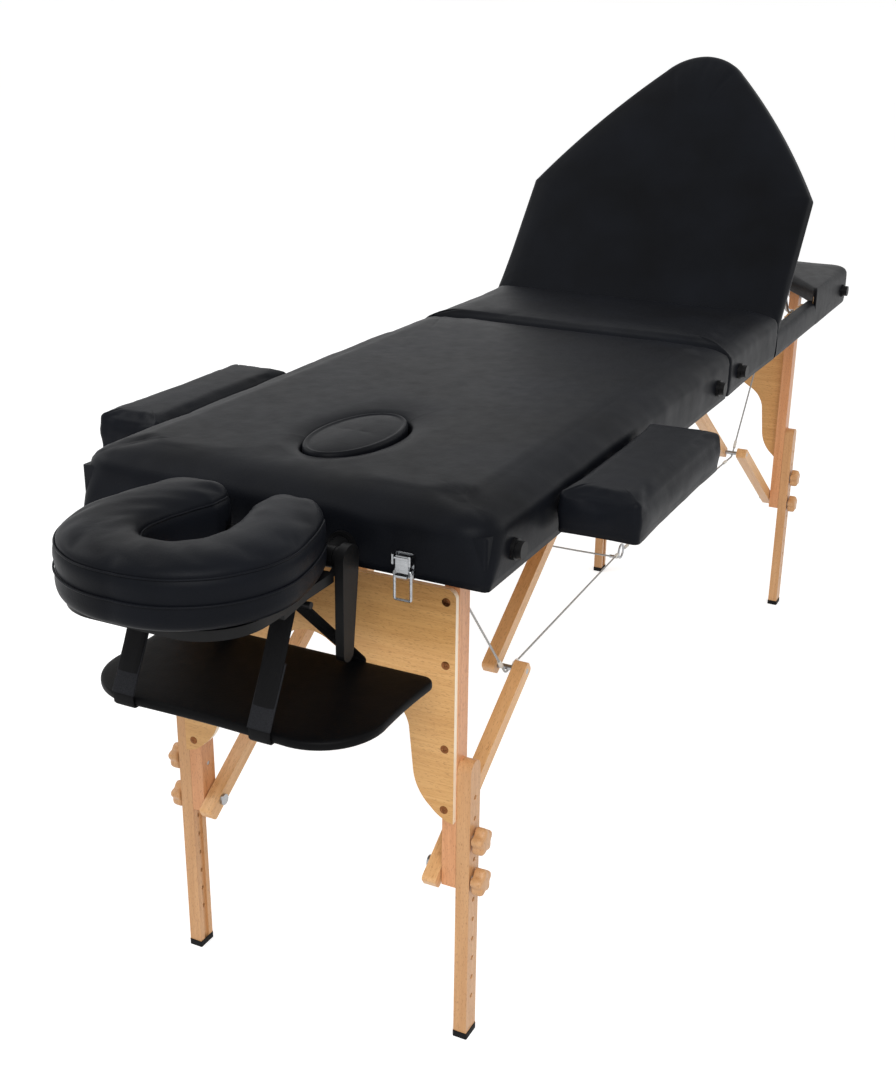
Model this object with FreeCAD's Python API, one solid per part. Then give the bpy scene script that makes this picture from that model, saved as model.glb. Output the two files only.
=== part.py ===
import FreeCAD, Part
import math
import os

# Folding massage table with a tilting backrest, face cradle, arm shelf and two armrests.
# Millimetres, +Z up, floor at z = 0, +X from the head end to the backrest end, left is +Y.
# Everything is drawn about the fold at x = 0 and moved along X at the end,
# so that the origin lies on the floor under the middle of the whole table.

# Table top
HALF_LENGTH = 930.0
WIDTH = 570.0
TOP_Z = 785.0
UNDERSIDE_Z = TOP_Z - 88.0
UNDERSIDE_GAP = 0.5
COVER = 6.0
RAIL = 18.0
RAIL_DEPTH = 55.5
DECK = 4.0
FOLD_RAIL_GAP = 4.0
FOLD_COVER_GAP = 0.2
CORNER_R = 38.0
INNER_CORNER_R = 10.0

# Upholstery forms
EDGE_ROUND = 16.0
CROWN_RISE = 3.0
CROWN_INSET = 90.0
PULL_IN = 2.0
PULL_IN_HEIGHT = 30.0
SIDE_DIP = 2.0
LEAST_CORNER = 5.0
SOFT_GAP = 0.3

# Face hole
FACE_HOLE_X = HALF_LENGTH - 207.0
FACE_HOLE_HALF_LENGTH = 100.0
FACE_HOLE_HALF_WIDTH = 54.0
FACE_HOLE_JOIN = 0.78
PLUG_RISE = 4.0
PLUG_ROUND = 9.0

# Hardware
PLATE = 2.5
PIVOT_FIT = 0.05
PIVOT_PIN_R = 4.0
STRUT_PIN_R = 3.0
CHEEK_GAP = 0.5
LEG_CLEVIS_HALF = 21.0
STRUT_CLEVIS_HALF = 14.0
HINGE_PIN_R = 2.0
KNUCKLE_R = 3.5
LEAF = 2.0
LEAF_Y = 215.0
LEAF_WIDTH = 36.0
LEAF_HEIGHT = 34.0
KNUCKLE_GAP = 0.3

# Legs
LEG_PIVOT_X = HALF_LENGTH - 106.0
LEG_PIVOT_Z = UNDERSIDE_Z + 23.5
LEG_DEPTH = 28.0
UPPER_LEG_Y = 186.0
UPPER_LEG_WIDTH = 20.0
UPPER_LEG_FOOT_Z = 235.0
LOWER_LEG_WIDTH = 19.0
LOWER_LEG_TOP_Z = 420.0
LEG_SLIDE_GAP = 0.3
TONGUE_WIDTH = 10.0
TONGUE_HEIGHT = 3.0
HOLE_COUNT = 11
HOLE_PITCH = 30.5
HOLE_TOP_Z = 368.0
HOLE_R = 3.3
KNOB_HOLES = (2, 4)
STUD_R = 3.0
KNOB_R = 22.0
KNOB_WAIST_R = 17.0
KNOB_LOBES = 5
KNOB_THICK = 20.0
WASHER_R = 9.0
WASHER = 1.7
FOOT_CUP = 1.0
FOOT_SOLE = 4.0
FOOT_HEIGHT = 9.0

# End panel
PANEL = 8.0
PANEL_HALF_WIDTH = 205.0
PANEL_TOP_Z = UNDERSIDE_Z - 43.0
PANEL_CORNER_R = 12.0
PANEL_FOOT_Z = 334.0
ARCH_TOP_Z = 560.0
# Half of the panel's lower edge: steps in from its side, with the rise from its foot
# and then the drop from the arch's top
PANEL_FOOT_CURVE = ((17.0, 6.0), (31.0, 17.0), (48.0, 37.0), (57.0, 66.0))
PANEL_ARCH_CURVE = ((63.0, 100.0), (74.0, 77.0), (97.0, 59.0), (137.0, 33.0), (181.0, 6.0), (192.0, 2.0))

# Folding struts
STRUT_LEG_Z = 255.0
STRUT_FRAME_X = 130.0
STRUT_DEPTH = 20.0
STRUT_WIDTH = 20.0
STRUT_ROUND = 6.0
STRUT_OVERHANG = 11.0
STRUT_FOOT_OVERHANG = 30.0
FOLDED_ELBOW_RISE = 16.5
LOWER_STRUT_GAP = 1.5
UPPER_STRUT_Y = 119.5
BOLT_HEAD_R = 8.0
BOLT_HEAD = 4.0

# Bracing cables
CABLE_R = 1.3
CABLE_Y = 152.0
CABLE_TAB = 3.0
CABLE_TAB_Z = UNDERSIDE_Z + 5.0
CABLE_TAB_OFFSET = 12.0
CABLE_ELBOW_LEAD = 0.45
SLEEVE_R = 3.0
SLEEVE_LENGTH = 16.0
CABLE_RING_Y = 117.0
CABLE_RING_Z = 395.0
CABLE_RING_R = 12.0
CABLE_RING_WIRE_R = 2.0

# Backrest
BACK_HINGE_X = 340.0
BACK_HINGE_Z = TOP_Z - 28.0
BACK_TILT = 49.0
BACK_CUSHION = 28.0
BACK_CROWN = 2.0
BACK_HEEL_TRIM = 3.0
BACK_BOARD = 8.0
BACK_BOARD_INSET = 8.0
BACK_HALF_WIDTH = WIDTH / 2 - 2.0
BACK_LENGTH = HALF_LENGTH - BACK_HINGE_X - 15.0
BACK_SHOULDER = BACK_LENGTH - 320.0
BACK_TAPER_END = BACK_LENGTH - 40.0
BACK_TAPER_HALF_WIDTH = 80.0
BACK_BULGE = (6.0, 8.0)
BACK_PEAK_TURN = (0.72, 0.56)
BACK_EDGE = ((0.0, 1.5), (8.0, 0.0), (15.0, 0.0), (21.0, 3.0), (25.5, 9.0))
BACK_TOP_INSET = 20.0
BACK_CROWN_INSET = 80.0
BACK_BATTEN_R = 12.0
BACK_GAP = 5.0
SEAT_GAP = 1.0
LOW_RAIL_DEPTH = 44.5
LOW_RAIL_COVER = 2.0
GUSSET = 7.0
CORNER_END_Y = 40.0
EDGE_PAD_TOP_Z = TOP_Z - 9.0
LUG = 6.0
LUG_STEM = 8.0
LUG_EYE_R = 9.0
LUG_DEPTH = 50.0
LUG_GAP = 0.5
BACK_PIN_REACH = 20.0

# Backrest prop
PROP_FROM_HINGE = 130.0
PROP_DROP = 15.0
PROP_LENGTH = 138.0
PROP_R = 4.0
PROP_Y = WIDTH / 2 - 37.0
PROP_LUG = 10.0
PROP_LUG_GAP = 6.0
PROP_BEND = 8.0
PROP_FOOT_END_Y = PROP_Y + 12.0
NOTCH_RAIL = 11.0
NOTCH_RAIL_HEIGHT = 20.0
NOTCH_RAIL_START = BACK_HINGE_X + 160.0
NOTCH_RAIL_END = BACK_HINGE_X + 300.0
NOTCH_RAIL_Z = TOP_Z - 49.4
NOTCH_SADDLE = 16.0
NOTCH_STEP = 26.0
NOTCH_COUNT = 3
NOTCH_R = 5.0

# Bumper feet and carry handles
BUMPER_XS = (64.0, HALF_LENGTH - 68.0)
BUMPER_Z = UNDERSIDE_Z + 31.0
BUMPER_R = 13.0
BUMPER_TIP_R = 10.5
BUMPER_BASE = 10.0
BUMPER_REACH = 18.0
HANDLE_X = HALF_LENGTH - 710.0
HANDLE_SPAN = 150.0
HANDLE_POST_R = 7.0
HANDLE_STANDOFF = 24.0
HANDLE_GRIP = 16.0
HANDLE_GRIP_OVERHANG = 16.0

# Draw latches
LATCH_Y = 182.0
LATCH_BASE_HALF = 12.0
LATCH_BASE_Z = UNDERSIDE_Z + 2.0
LATCH_BASE_HEIGHT = 30.0
LATCH_BASE_REACH = 8.0
LATCH_EAR = 2.5
LATCH_EAR_HEIGHT = 12.0
LATCH_EAR_REACH = 9.0
LATCH_PIVOT_Z = UNDERSIDE_Z + 25.0
LATCH_PIVOT_REACH = 12.5
LATCH_PIN_R = 2.0
LEVER_HALF = 8.0
LEVER = 5.0
LEVER_ROUND = 2.0
LEVER_FOOT_Z = UNDERSIDE_Z + 3.5
LEVER_TOP = 4.2
LEVER_LIP = 4.0
LOOP_PIVOT_Z = UNDERSIDE_Z + 11.0
LOOP_HALF = 10.5
LOOP_R = 1.6
LOOP_FOOT_Z = UNDERSIDE_Z - 24.4
LOOP_BEND = 2.2
LOOP_END = 4.0
CATCH_HALF = 10.0
CATCH_HEIGHT = 26.0
CATCH_REACH = 15.0
CATCH_LIP = 4.0
CATCH_TIP_HEIGHT = 10.0

# Face cradle
POST_Y = 101.0
POST_Z = UNDERSIDE_Z + 25.0
POST_R = 12.0
POST_FIT = 0.3
POST_END = 44.0
COLLAR = 5.5
COLLAR_REACH = 10.0
COLLAR_FIT = 0.3
CROSSBAR_X = HALF_LENGTH + 35.0
CROSSBAR_R = 13.0
JOURNAL_R = 8.0
CHEEK = 6.0
CHEEK_SIDE_GAP = 1.0
CRADLE_BOARD = 12.0
CRADLE_BOARD_FRONT = HALF_LENGTH + 258.0
CRADLE_BOARD_REAR = HALF_LENGTH + 54.0
CRADLE_BOARD_CORNER = 70.0
CRADLE_SLOT_HALF = 52.0
CRADLE_SLOT_FRONT = HALF_LENGTH + 198.0
CRADLE_CHEEK_FRONT = HALF_LENGTH + 155.0
CRADLE_FRONT = HALF_LENGTH + 287.0
CRADLE_REAR = HALF_LENGTH + 7.0
CRADLE_HALF_WIDTH = 140.0
CRADLE_WIDEST_X = HALF_LENGTH + 155.0
CRADLE_END_HALF_WIDTH = 92.0
CRADLE_GAP_HALF = 22.0
CRADLE_HOLE_FRONT = HALF_LENGTH + 203.0
CRADLE_HOLE_HALF = 43.0
CRADLE_BOTTOM_Z = UNDERSIDE_Z + 15.0
CRADLE_TOP_Z = TOP_Z - 1.0
CRADLE_ROUND = 16.0
CRADLE_CROWN = 2.0
CRADLE_FRONT_BOW = (0.27, 0.72)
CRADLE_SIDE_BOW = 9.0
CRADLE_END_ROUND = 8.0
CRADLE_MOUTH_BOW = 2.0
CRADLE_MOUTH = 62.0
CRADLE_THROAT_BOW = 3.0
CRADLE_HOLE_REACH = 52.0
CRADLE_HOLE_BOW = (0.3, 0.75)
CROSSBAR_CLEARANCE = 2.0
CAM_LEVER = 11.0
CAM_LEVER_GAP = 0.5
CAM_LEVER_HEAD_R = 18.0
CAM_LEVER_LENGTH = 112.0
CAM_LEVER_TIP_HALF = 11.0
CAM_LEVER_LEAN = 8.0
CAM_LEVER_TIP_ROUND = 9.9

# Arm shelf
SHELF_FRONT = HALF_LENGTH + 167.0
SHELF_REAR = HALF_LENGTH - 40.0
SHELF_HALF_WIDTH = 203.0
SHELF_Z = UNDERSIDE_Z - 149.0
SHELF = 12.0
SHELF_FRONT_CORNER = 78.0
SHELF_REAR_CORNER = 16.0
SHELF_EDGE = 3.0
STRAP_Y = 92.0
STRAP_WIDTH = 28.0
STRAP = 2.4
STRAP_BAR_X = HALF_LENGTH + 102.0
STRAP_BAR_Z = UNDERSIDE_Z - 7.0
STRAP_BAR_R = 4.0
STRAP_BAR_EYE = 5.0
STRAP_BAR_EYE_Y = 68.0

# Side armrests
ARMREST_X = HALF_LENGTH - 340.0
ARMREST_LENGTH = 330.0
ARMREST_WIDTH = 105.0
ARMREST_GAP = 5.0
ARMREST_TOP_Z = TOP_Z - 17.0
ARMREST_PAD = 40.0
ARMREST_BOARD = 14.0
ARMREST_INSET = 8.0
ARMREST_CORNER = 30.0
ARMREST_ROUND = 13.0
ARMREST_CROWN_INSET = 24.0
DOWEL_R = 6.0
DOWEL_FIT = 0.3
DOWEL_SPACING = 200.0
DOWEL_END_GAP = 1.0

# Sizes that follow from the ones above
HALF_WIDTH = WIDTH / 2
FRAME_HALF_WIDTH = HALF_WIDTH - COVER
CAVITY_HALF_WIDTH = FRAME_HALF_WIDTH - RAIL
FRAME_END = HALF_LENGTH - COVER
CAVITY_END = FRAME_END - RAIL
BOTTOM_Z = UNDERSIDE_Z + UNDERSIDE_GAP
RAIL_TOP_Z = BOTTOM_Z + RAIL_DEPTH
DECK_TOP_Z = RAIL_TOP_Z + DECK
LOW_RAIL_Z = BOTTOM_Z + LOW_RAIL_DEPTH
SEAT_END = BACK_HINGE_X - BACK_CUSHION - SEAT_GAP
GUSSET_Z = DECK_TOP_Z - GUSSET
HALF_LEG = LEG_DEPTH / 2
UPPER_LEG_OUT_Y = UPPER_LEG_Y + UPPER_LEG_WIDTH
LOWER_LEG_Y = UPPER_LEG_OUT_Y + LEG_SLIDE_GAP
LOWER_LEG_OUT_Y = LOWER_LEG_Y + LOWER_LEG_WIDTH
LOWER_STRUT_OUT_Y = UPPER_LEG_Y - LOWER_STRUT_GAP
LOWER_STRUT_Y = LOWER_STRUT_OUT_Y - STRUT_WIDTH
UPPER_STRUT_OUT_Y = UPPER_STRUT_Y + STRUT_WIDTH
HALF_STRUT = STRUT_DEPTH / 2
FACE_HOLE_CENTRE = -FACE_HOLE_X

# Strut linkage of the head half: straight at rest, elbow raised into the frame when folded.
# Both ends of the strut lie level with the leg's pivot when the leg is folded,
# so the elbow's path is an ellipse about those ends.
STRUT_FRAME_Z = LEG_PIVOT_Z
STRUT_ON_LEG = LEG_PIVOT_Z - STRUT_LEG_Z
STRUT_SPAN = LEG_PIVOT_X - STRUT_FRAME_X
STRUT_SUM = math.hypot(STRUT_SPAN, STRUT_ON_LEG)
FOCUS_HALF = (STRUT_SPAN - STRUT_ON_LEG) / 2
ELLIPSE_MINOR_SQ = STRUT_SUM ** 2 / 4 - FOCUS_HALF ** 2
ELBOW_REACH = STRUT_SUM / 2 * math.sqrt(1 - FOLDED_ELBOW_RISE ** 2 / ELLIPSE_MINOR_SQ)
FOLDED_ELBOW_SPAN = ELBOW_REACH + FOCUS_HALF
UPPER_STRUT = math.hypot(FOLDED_ELBOW_SPAN, FOLDED_ELBOW_RISE)
LOWER_STRUT = STRUT_SUM - UPPER_STRUT
STRUT_SLOPE = math.degrees(math.atan2(STRUT_ON_LEG, STRUT_SPAN))
ELBOW_X = -LEG_PIVOT_X + LOWER_STRUT * math.cos(math.radians(STRUT_SLOPE))
ELBOW_Z = STRUT_LEG_Z + LOWER_STRUT * math.sin(math.radians(STRUT_SLOPE))

X_AXIS = FreeCAD.Vector(1, 0, 0)
Y_AXIS = FreeCAD.Vector(0, 1, 0)
Z_AXIS = FreeCAD.Vector(0, 0, 1)
ORIGIN = FreeCAD.Vector(0, 0, 0)
BEYOND = HALF_LENGTH + WIDTH
THROUGH = 1.0


# Basic shapes
def vec(x, y, z):
    return FreeCAD.Vector(x, y, z)


def box(x0, x1, y0, y1, z0, z1):
    return Part.makeBox(x1 - x0, y1 - y0, z1 - z0, vec(x0, y0, z0))


def rod_x(x0, x1, y, z, radius):
    return Part.makeCylinder(radius, x1 - x0, vec(x0, y, z), X_AXIS)


def rod_y(x, y0, y1, z, radius):
    return Part.makeCylinder(radius, y1 - y0, vec(x, y0, z), Y_AXIS)


def line(a, b):
    return Part.LineSegment(a, b).toShape()


def arc(a, middle, b):
    return Part.Arc(a, middle, b).toShape()


def bow(a, b, middle, dip):
    """A side from a to b, an arc through middle or, with no dip, a straight line."""
    return arc(a, middle, b) if dip else line(a, b)


def prism(edges, direction):
    return Part.Face(Part.Wire(edges)).extrude(direction)


def polygon_plate(points, direction):
    return Part.Face(Part.makePolygon(points + points[:1])).extrude(direction)


def edges_along(shape, axis):
    found = []
    for edge in shape.Edges:
        ends = edge.Vertexes
        if len(ends) == 2 and (ends[1].Point - ends[0].Point).normalize().cross(axis).Length < 1e-6:
            found.append(edge)
    return found


def rounded_box(x0, x1, y0, y1, z0, z1, radius, axis):
    block = box(x0, x1, y0, y1, z0, z1)
    return block.makeFillet(radius, edges_along(block, axis))


def mirror_x(shape):
    return shape.mirror(ORIGIN, X_AXIS)


def mirror_y(shape):
    return shape.mirror(ORIGIN, Y_AXIS)


def both_sides(shape):
    return [shape, mirror_y(shape)]


def fuse(shapes):
    return shapes[0].multiFuse(shapes[1:]).removeSplitter()


def cut(shape, tools):
    return shape.cut(Part.makeCompound(tools))


def bent_tube(points, bend, radius):
    """A round bar along straight runs joined by tangent arcs of radius bend."""
    edges = []
    start = points[0]
    for before, corner, after in zip(points, points[1:], points[2:]):
        inward = (before - corner).normalize()
        outward = (after - corner).normalize()
        half_turn = (math.pi - inward.getAngle(outward)) / 2
        setback = bend * math.tan(half_turn)
        first = corner + inward * setback
        last = corner + outward * setback
        middle = corner + (inward + outward).normalize() * (bend / math.cos(half_turn) - bend)
        edges += [line(start, first), arc(first, middle, last)]
        start = last
    edges.append(line(start, points[-1]))
    section = Part.Wire([Part.makeCircle(radius, points[0], points[1] - points[0])])
    return Part.Wire(edges).makePipeShell([section], True, False)


# Upholstered forms
def pad_wire(x0, x1, y0, y1, z, corners, dips):
    """A rounded rectangle whose sides are drawn in; corners and dips go x0 end, x1 end (and sides)."""
    share = 1 - math.sqrt(0.5)
    c0, c1 = corners
    end0, end1, side = dips
    middle_x = (x0 + x1) / 2
    middle_y = (y0 + y1) / 2

    def at(x, y):
        return vec(x, y, z)

    return Part.Wire([
        bow(at(x0 + c0, y0), at(x1 - c1, y0), at(middle_x, y0 + side), side),
        arc(at(x1 - c1, y0), at(x1 - share * c1, y0 + share * c1), at(x1, y0 + c1)),
        bow(at(x1, y0 + c1), at(x1, y1 - c1), at(x1 - end1, middle_y), end1),
        arc(at(x1, y1 - c1), at(x1 - share * c1, y1 - share * c1), at(x1 - c1, y1)),
        bow(at(x1 - c1, y1), at(x0 + c0, y1), at(middle_x, y1 - side), side),
        arc(at(x0 + c0, y1), at(x0 + share * c0, y1 - share * c0), at(x0, y1 - c0)),
        bow(at(x0, y1 - c0), at(x0, y0 + c0), at(x0 + end0, middle_y), end0),
        arc(at(x0, y0 + c0), at(x0 + share * c0, y0 + share * c0), at(x0 + c0, y0)),
    ])


def crown_levels(bottom, top, edge_round, crown_rise, crown_inset):
    """Heights and insets of a cushion: drawn in at the foot, full flank, rounded edge, low crown."""
    spring = top - crown_rise - edge_round
    levels = [(bottom, PULL_IN), (min(bottom + PULL_IN_HEIGHT, (bottom + spring) / 2), 0.0)]
    for degrees in (0, 35, 65, 90):
        angle = math.radians(degrees)
        levels.append((spring + edge_round * math.sin(angle), edge_round * (1 - math.cos(angle))))
    levels.append((top, crown_inset))
    return levels


def pad(x0, x1, y0, y1, levels, corners, dips):
    wires = []
    for z, inset in levels:
        shrunk = [max(corner - inset, LEAST_CORNER) for corner in corners]
        wires.append(pad_wire(x0 + inset, x1 - inset, y0 + inset, y1 - inset, z, shrunk, dips))
    return Part.makeLoft(wires, True, True)


# Frame outline shared by both halves, drawn for the head half
def frame_block(fold_x, z0, z1):
    block = box(-FRAME_END, fold_x, -FRAME_HALF_WIDTH, FRAME_HALF_WIDTH, z0, z1)
    outer = [edge for edge in edges_along(block, Z_AXIS) if edge.CenterOfMass.x < THROUGH - FRAME_END]
    return block.makeFillet(CORNER_R - COVER, outer)


def rail_spaces(top):
    """The places of the two side rails, the end rail and the fold rail, up to the given height."""
    low = BOTTOM_Z - THROUGH
    half = CAVITY_HALF_WIDTH
    side = box(-HALF_LENGTH, 0, half, HALF_WIDTH, low, top)
    end = box(-HALF_LENGTH, -CAVITY_END, -half, half, low, top)
    fold = box(-FOLD_RAIL_GAP - RAIL, 0, -half, half, low, top)
    return both_sides(side) + [end, fold]


def divide(block, spaces):
    """The solids that a block has in each of the spaces."""
    return [solid for space in spaces for solid in block.common(space).Solids]


def oval_wire(inset, z):
    length = FACE_HOLE_HALF_LENGTH - inset
    width = FACE_HOLE_HALF_WIDTH - inset
    join_x = FACE_HOLE_JOIN * length
    join_y = width * math.sqrt(1 - FACE_HOLE_JOIN ** 2)

    def at(x, y):
        return vec(FACE_HOLE_CENTRE + x, y, z)

    return Part.Wire([
        arc(at(join_x, -join_y), at(length, 0), at(join_x, join_y)),
        arc(at(join_x, join_y), at(0, width), at(-join_x, join_y)),
        arc(at(-join_x, join_y), at(-length, 0), at(-join_x, -join_y)),
        arc(at(-join_x, -join_y), at(0, -width), at(join_x, -join_y)),
    ])


def face_hole():
    depth = TOP_Z - RAIL_TOP_Z + 2 * THROUGH
    return Part.Face(oval_wire(0, RAIL_TOP_Z - THROUGH)).extrude(vec(0, 0, depth))


def face_plug():
    top = TOP_Z + PLUG_RISE
    levels = [(RAIL_TOP_Z, SOFT_GAP), (DECK_TOP_Z, SOFT_GAP), (top - PLUG_ROUND - THROUGH, 4 * SOFT_GAP)]
    levels += [(top - PLUG_ROUND / 3, PLUG_ROUND / 2), (top, 2 * PLUG_ROUND)]
    return Part.makeLoft([oval_wire(inset, z) for z, inset in levels], True, True)


# Places where accessories and fittings enter the head half
def dowel_xs():
    return [-ARMREST_X - DOWEL_SPACING / 2, -ARMREST_X + DOWEL_SPACING / 2]


DOWEL_Z = ARMREST_TOP_Z - ARMREST_PAD - ARMREST_BOARD / 2


def post_bores(radius):
    return both_sides(rod_x(-HALF_LENGTH - THROUGH, -CAVITY_END + THROUGH, POST_Y, POST_Z, radius))


def dowel_bores():
    bores = []
    radius = DOWEL_R + DOWEL_FIT
    for x in dowel_xs():
        bores += both_sides(rod_y(x, CAVITY_HALF_WIDTH - THROUGH, HALF_WIDTH + THROUGH, DOWEL_Z, radius))
    return bores


def bumper_seats():
    radius = BUMPER_R + SOFT_GAP
    return [rod_y(-x, -HALF_WIDTH - THROUGH, -FRAME_HALF_WIDTH, BUMPER_Z, radius) for x in BUMPER_XS]


def handle_post_xs():
    return [-HANDLE_X - HANDLE_SPAN / 2, -HANDLE_X + HANDLE_SPAN / 2]


def handle_seats():
    radius = HANDLE_POST_R + SOFT_GAP
    return [rod_y(x, FRAME_HALF_WIDTH, HALF_WIDTH + THROUGH, BUMPER_Z, radius) for x in handle_post_xs()]


def latch_seats(half, height):
    gap = SOFT_GAP
    seat = box(-HALF_LENGTH - THROUGH, -FRAME_END, LATCH_Y - half - gap, LATCH_Y + half + gap,
               LATCH_BASE_Z - gap, LATCH_BASE_Z + height + gap)
    return both_sides(seat)


# Head half
def head_frame():
    """Side rails, end rail and fold rail, with the deck board on them."""
    block = frame_block(-FOLD_RAIL_GAP, BOTTOM_Z, DECK_TOP_Z)
    block = cut(block, [face_hole()] + post_bores(POST_R + POST_FIT) + dowel_bores())
    deck = box(-HALF_LENGTH, 0, -HALF_WIDTH, HALF_WIDTH, RAIL_TOP_Z, DECK_TOP_Z)
    return divide(block, rail_spaces(RAIL_TOP_Z) + [deck])


def head_cushion():
    levels = crown_levels(BOTTOM_Z, TOP_Z, EDGE_ROUND, CROWN_RISE, CROWN_INSET)
    form = pad(-HALF_LENGTH, -FOLD_COVER_GAP, -HALF_WIDTH, HALF_WIDTH, levels,
               (CORNER_R, INNER_CORNER_R), (SIDE_DIP, 0, SIDE_DIP))
    tools = [frame_block(FOLD_RAIL_GAP, BOTTOM_Z - THROUGH, DECK_TOP_Z), face_hole()]
    tools += post_bores(POST_R + COLLAR + COLLAR_FIT) + dowel_bores() + bumper_seats() + handle_seats()
    tools += latch_seats(LATCH_BASE_HALF, LATCH_BASE_HEIGHT)
    return cut(form, tools)


def clevis(x, z, y0, y1, base_z, pin_r, half, inner_reach):
    """Two cheeks with a pivot pin, hanging from a base plate whose top is at base_z."""
    inner = y0 - CHEEK_GAP
    outer = y1 + CHEEK_GAP
    plate_z = base_z - PLATE
    pieces = [box(x - half, x + half, inner - PLATE - inner_reach, outer + PLATE, plate_z, base_z)]
    for cheek_y in (inner - PLATE, outer):
        pieces.append(box(x - half / 2, x + half / 2, cheek_y, cheek_y + PLATE, z, base_z))
        pieces.append(rod_y(x, cheek_y, cheek_y + PLATE, z, half / 2))
    pieces.append(rod_y(x, inner - PLATE, outer + PLATE, z, pin_r))
    return pieces


def leg_clevis(base_z):
    """The leg's clevis, with a tab on its inner side that holds the end of the bracing cable."""
    reach = UPPER_LEG_Y - CHEEK_GAP - PLATE - (CABLE_Y - CABLE_TAB / 2)
    pieces = clevis(-LEG_PIVOT_X, LEG_PIVOT_Z, UPPER_LEG_Y, UPPER_LEG_OUT_Y, base_z, PIVOT_PIN_R,
                    LEG_CLEVIS_HALF, reach)
    tab_x = -LEG_PIVOT_X + CABLE_TAB_OFFSET
    pieces.append(box(tab_x - SLEEVE_R, tab_x + SLEEVE_R, CABLE_Y - CABLE_TAB / 2, CABLE_Y + CABLE_TAB / 2,
                      CABLE_TAB_Z, base_z))
    return fuse(pieces)


def strut_clevis():
    return fuse(clevis(-STRUT_FRAME_X, STRUT_FRAME_Z, UPPER_STRUT_Y, UPPER_STRUT_OUT_Y, RAIL_TOP_Z,
                       STRUT_PIN_R, STRUT_CLEVIS_HALF, 0))


def knuckle_ys():
    """Ends of the three knuckles of a fold hinge: head half, pin, foot half."""
    third = LEAF_WIDTH / 3
    return [LEAF_Y, LEAF_Y + third, LEAF_Y + 2 * third, LEAF_Y + LEAF_WIDTH]


def hinge_leaf(y0, y1):
    """A fold-hinge leaf on the head half's end rail, with its knuckle from y0 to y1."""
    leaf = box(-FOLD_RAIL_GAP, -FOLD_RAIL_GAP + LEAF, LEAF_Y, LEAF_Y + LEAF_WIDTH,
               UNDERSIDE_Z + KNUCKLE_R + KNUCKLE_GAP, UNDERSIDE_Z + LEAF_HEIGHT)
    web = box(-FOLD_RAIL_GAP, -FOLD_RAIL_GAP + LEAF, y0, y1, UNDERSIDE_Z, UNDERSIDE_Z + LEAF_HEIGHT)
    knuckle = rod_y(0, y0, y1, UNDERSIDE_Z, KNUCKLE_R)
    bore = rod_y(0, y0 - THROUGH, y1 + THROUGH, UNDERSIDE_Z, HINGE_PIN_R + PIVOT_FIT)
    return cut(fuse([leaf, web, knuckle]), [bore])


def head_brackets():
    ys = knuckle_ys()
    pieces = []
    for piece in (leg_clevis(RAIL_TOP_Z), strut_clevis(), hinge_leaf(ys[0], ys[1])):
        pieces += both_sides(piece)
    return pieces


def fold_hinge_pins():
    ys = knuckle_ys()
    pin = rod_y(0, ys[0], ys[3], UNDERSIDE_Z, HINGE_PIN_R)
    collar = rod_y(0, ys[1] + KNUCKLE_GAP, ys[2] - KNUCKLE_GAP, UNDERSIDE_Z, KNUCKLE_R)
    return both_sides(fuse([pin, collar]))


def bumpers():
    feet = []
    for x in BUMPER_XS:
        base = rod_y(-x, -FRAME_HALF_WIDTH - BUMPER_BASE, -FRAME_HALF_WIDTH, BUMPER_Z, BUMPER_R)
        tip = rod_y(-x, -FRAME_HALF_WIDTH - BUMPER_REACH, -FRAME_HALF_WIDTH, BUMPER_Z, BUMPER_TIP_R)
        feet.append(fuse([base, tip]))
    return feet


def carry_handle():
    first, last = handle_post_xs()
    grip_y = HALF_WIDTH + HANDLE_STANDOFF
    half = HANDLE_GRIP / 2
    grip = rounded_box(first - HANDLE_GRIP_OVERHANG, last + HANDLE_GRIP_OVERHANG, grip_y,
                       grip_y + HANDLE_GRIP, BUMPER_Z - half, BUMPER_Z + half, HANDLE_GRIP / 3, X_AXIS)
    posts = [rod_y(x, FRAME_HALF_WIDTH, grip_y + half, BUMPER_Z, HANDLE_POST_R) for x in (first, last)]
    return fuse([grip] + posts)


def post_collars():
    ring = rod_x(-FRAME_END - COLLAR_REACH, -FRAME_END, POST_Y, POST_Z, POST_R + COLLAR)
    bore = rod_x(-FRAME_END - BEYOND, -FRAME_END + THROUGH, POST_Y, POST_Z, POST_R + POST_FIT)
    return both_sides(cut(ring, [bore]))


# Draw latches on the head end
LATCH_PIVOT_X = -FRAME_END - LATCH_PIVOT_REACH


def latch_plate():
    face = -FRAME_END - LATCH_BASE_REACH
    base = rounded_box(face, -FRAME_END, LATCH_Y - LATCH_BASE_HALF, LATCH_Y + LATCH_BASE_HALF,
                       LATCH_BASE_Z, LATCH_BASE_Z + LATCH_BASE_HEIGHT, LATCH_EAR, X_AXIS)
    pieces = [base]
    ear_z = LATCH_PIVOT_Z - LATCH_EAR_HEIGHT / 2
    left = LATCH_Y - LATCH_BASE_HALF
    right = LATCH_Y + LATCH_BASE_HALF
    for ear_y in (left, right - LATCH_EAR):
        ear = box(face - LATCH_EAR_REACH, face, ear_y, ear_y + LATCH_EAR, ear_z, ear_z + LATCH_EAR_HEIGHT)
        pieces.append(ear)
    pieces.append(rod_y(LATCH_PIVOT_X, left, right, LATCH_PIVOT_Z, LATCH_PIN_R))
    return fuse(pieces)


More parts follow.
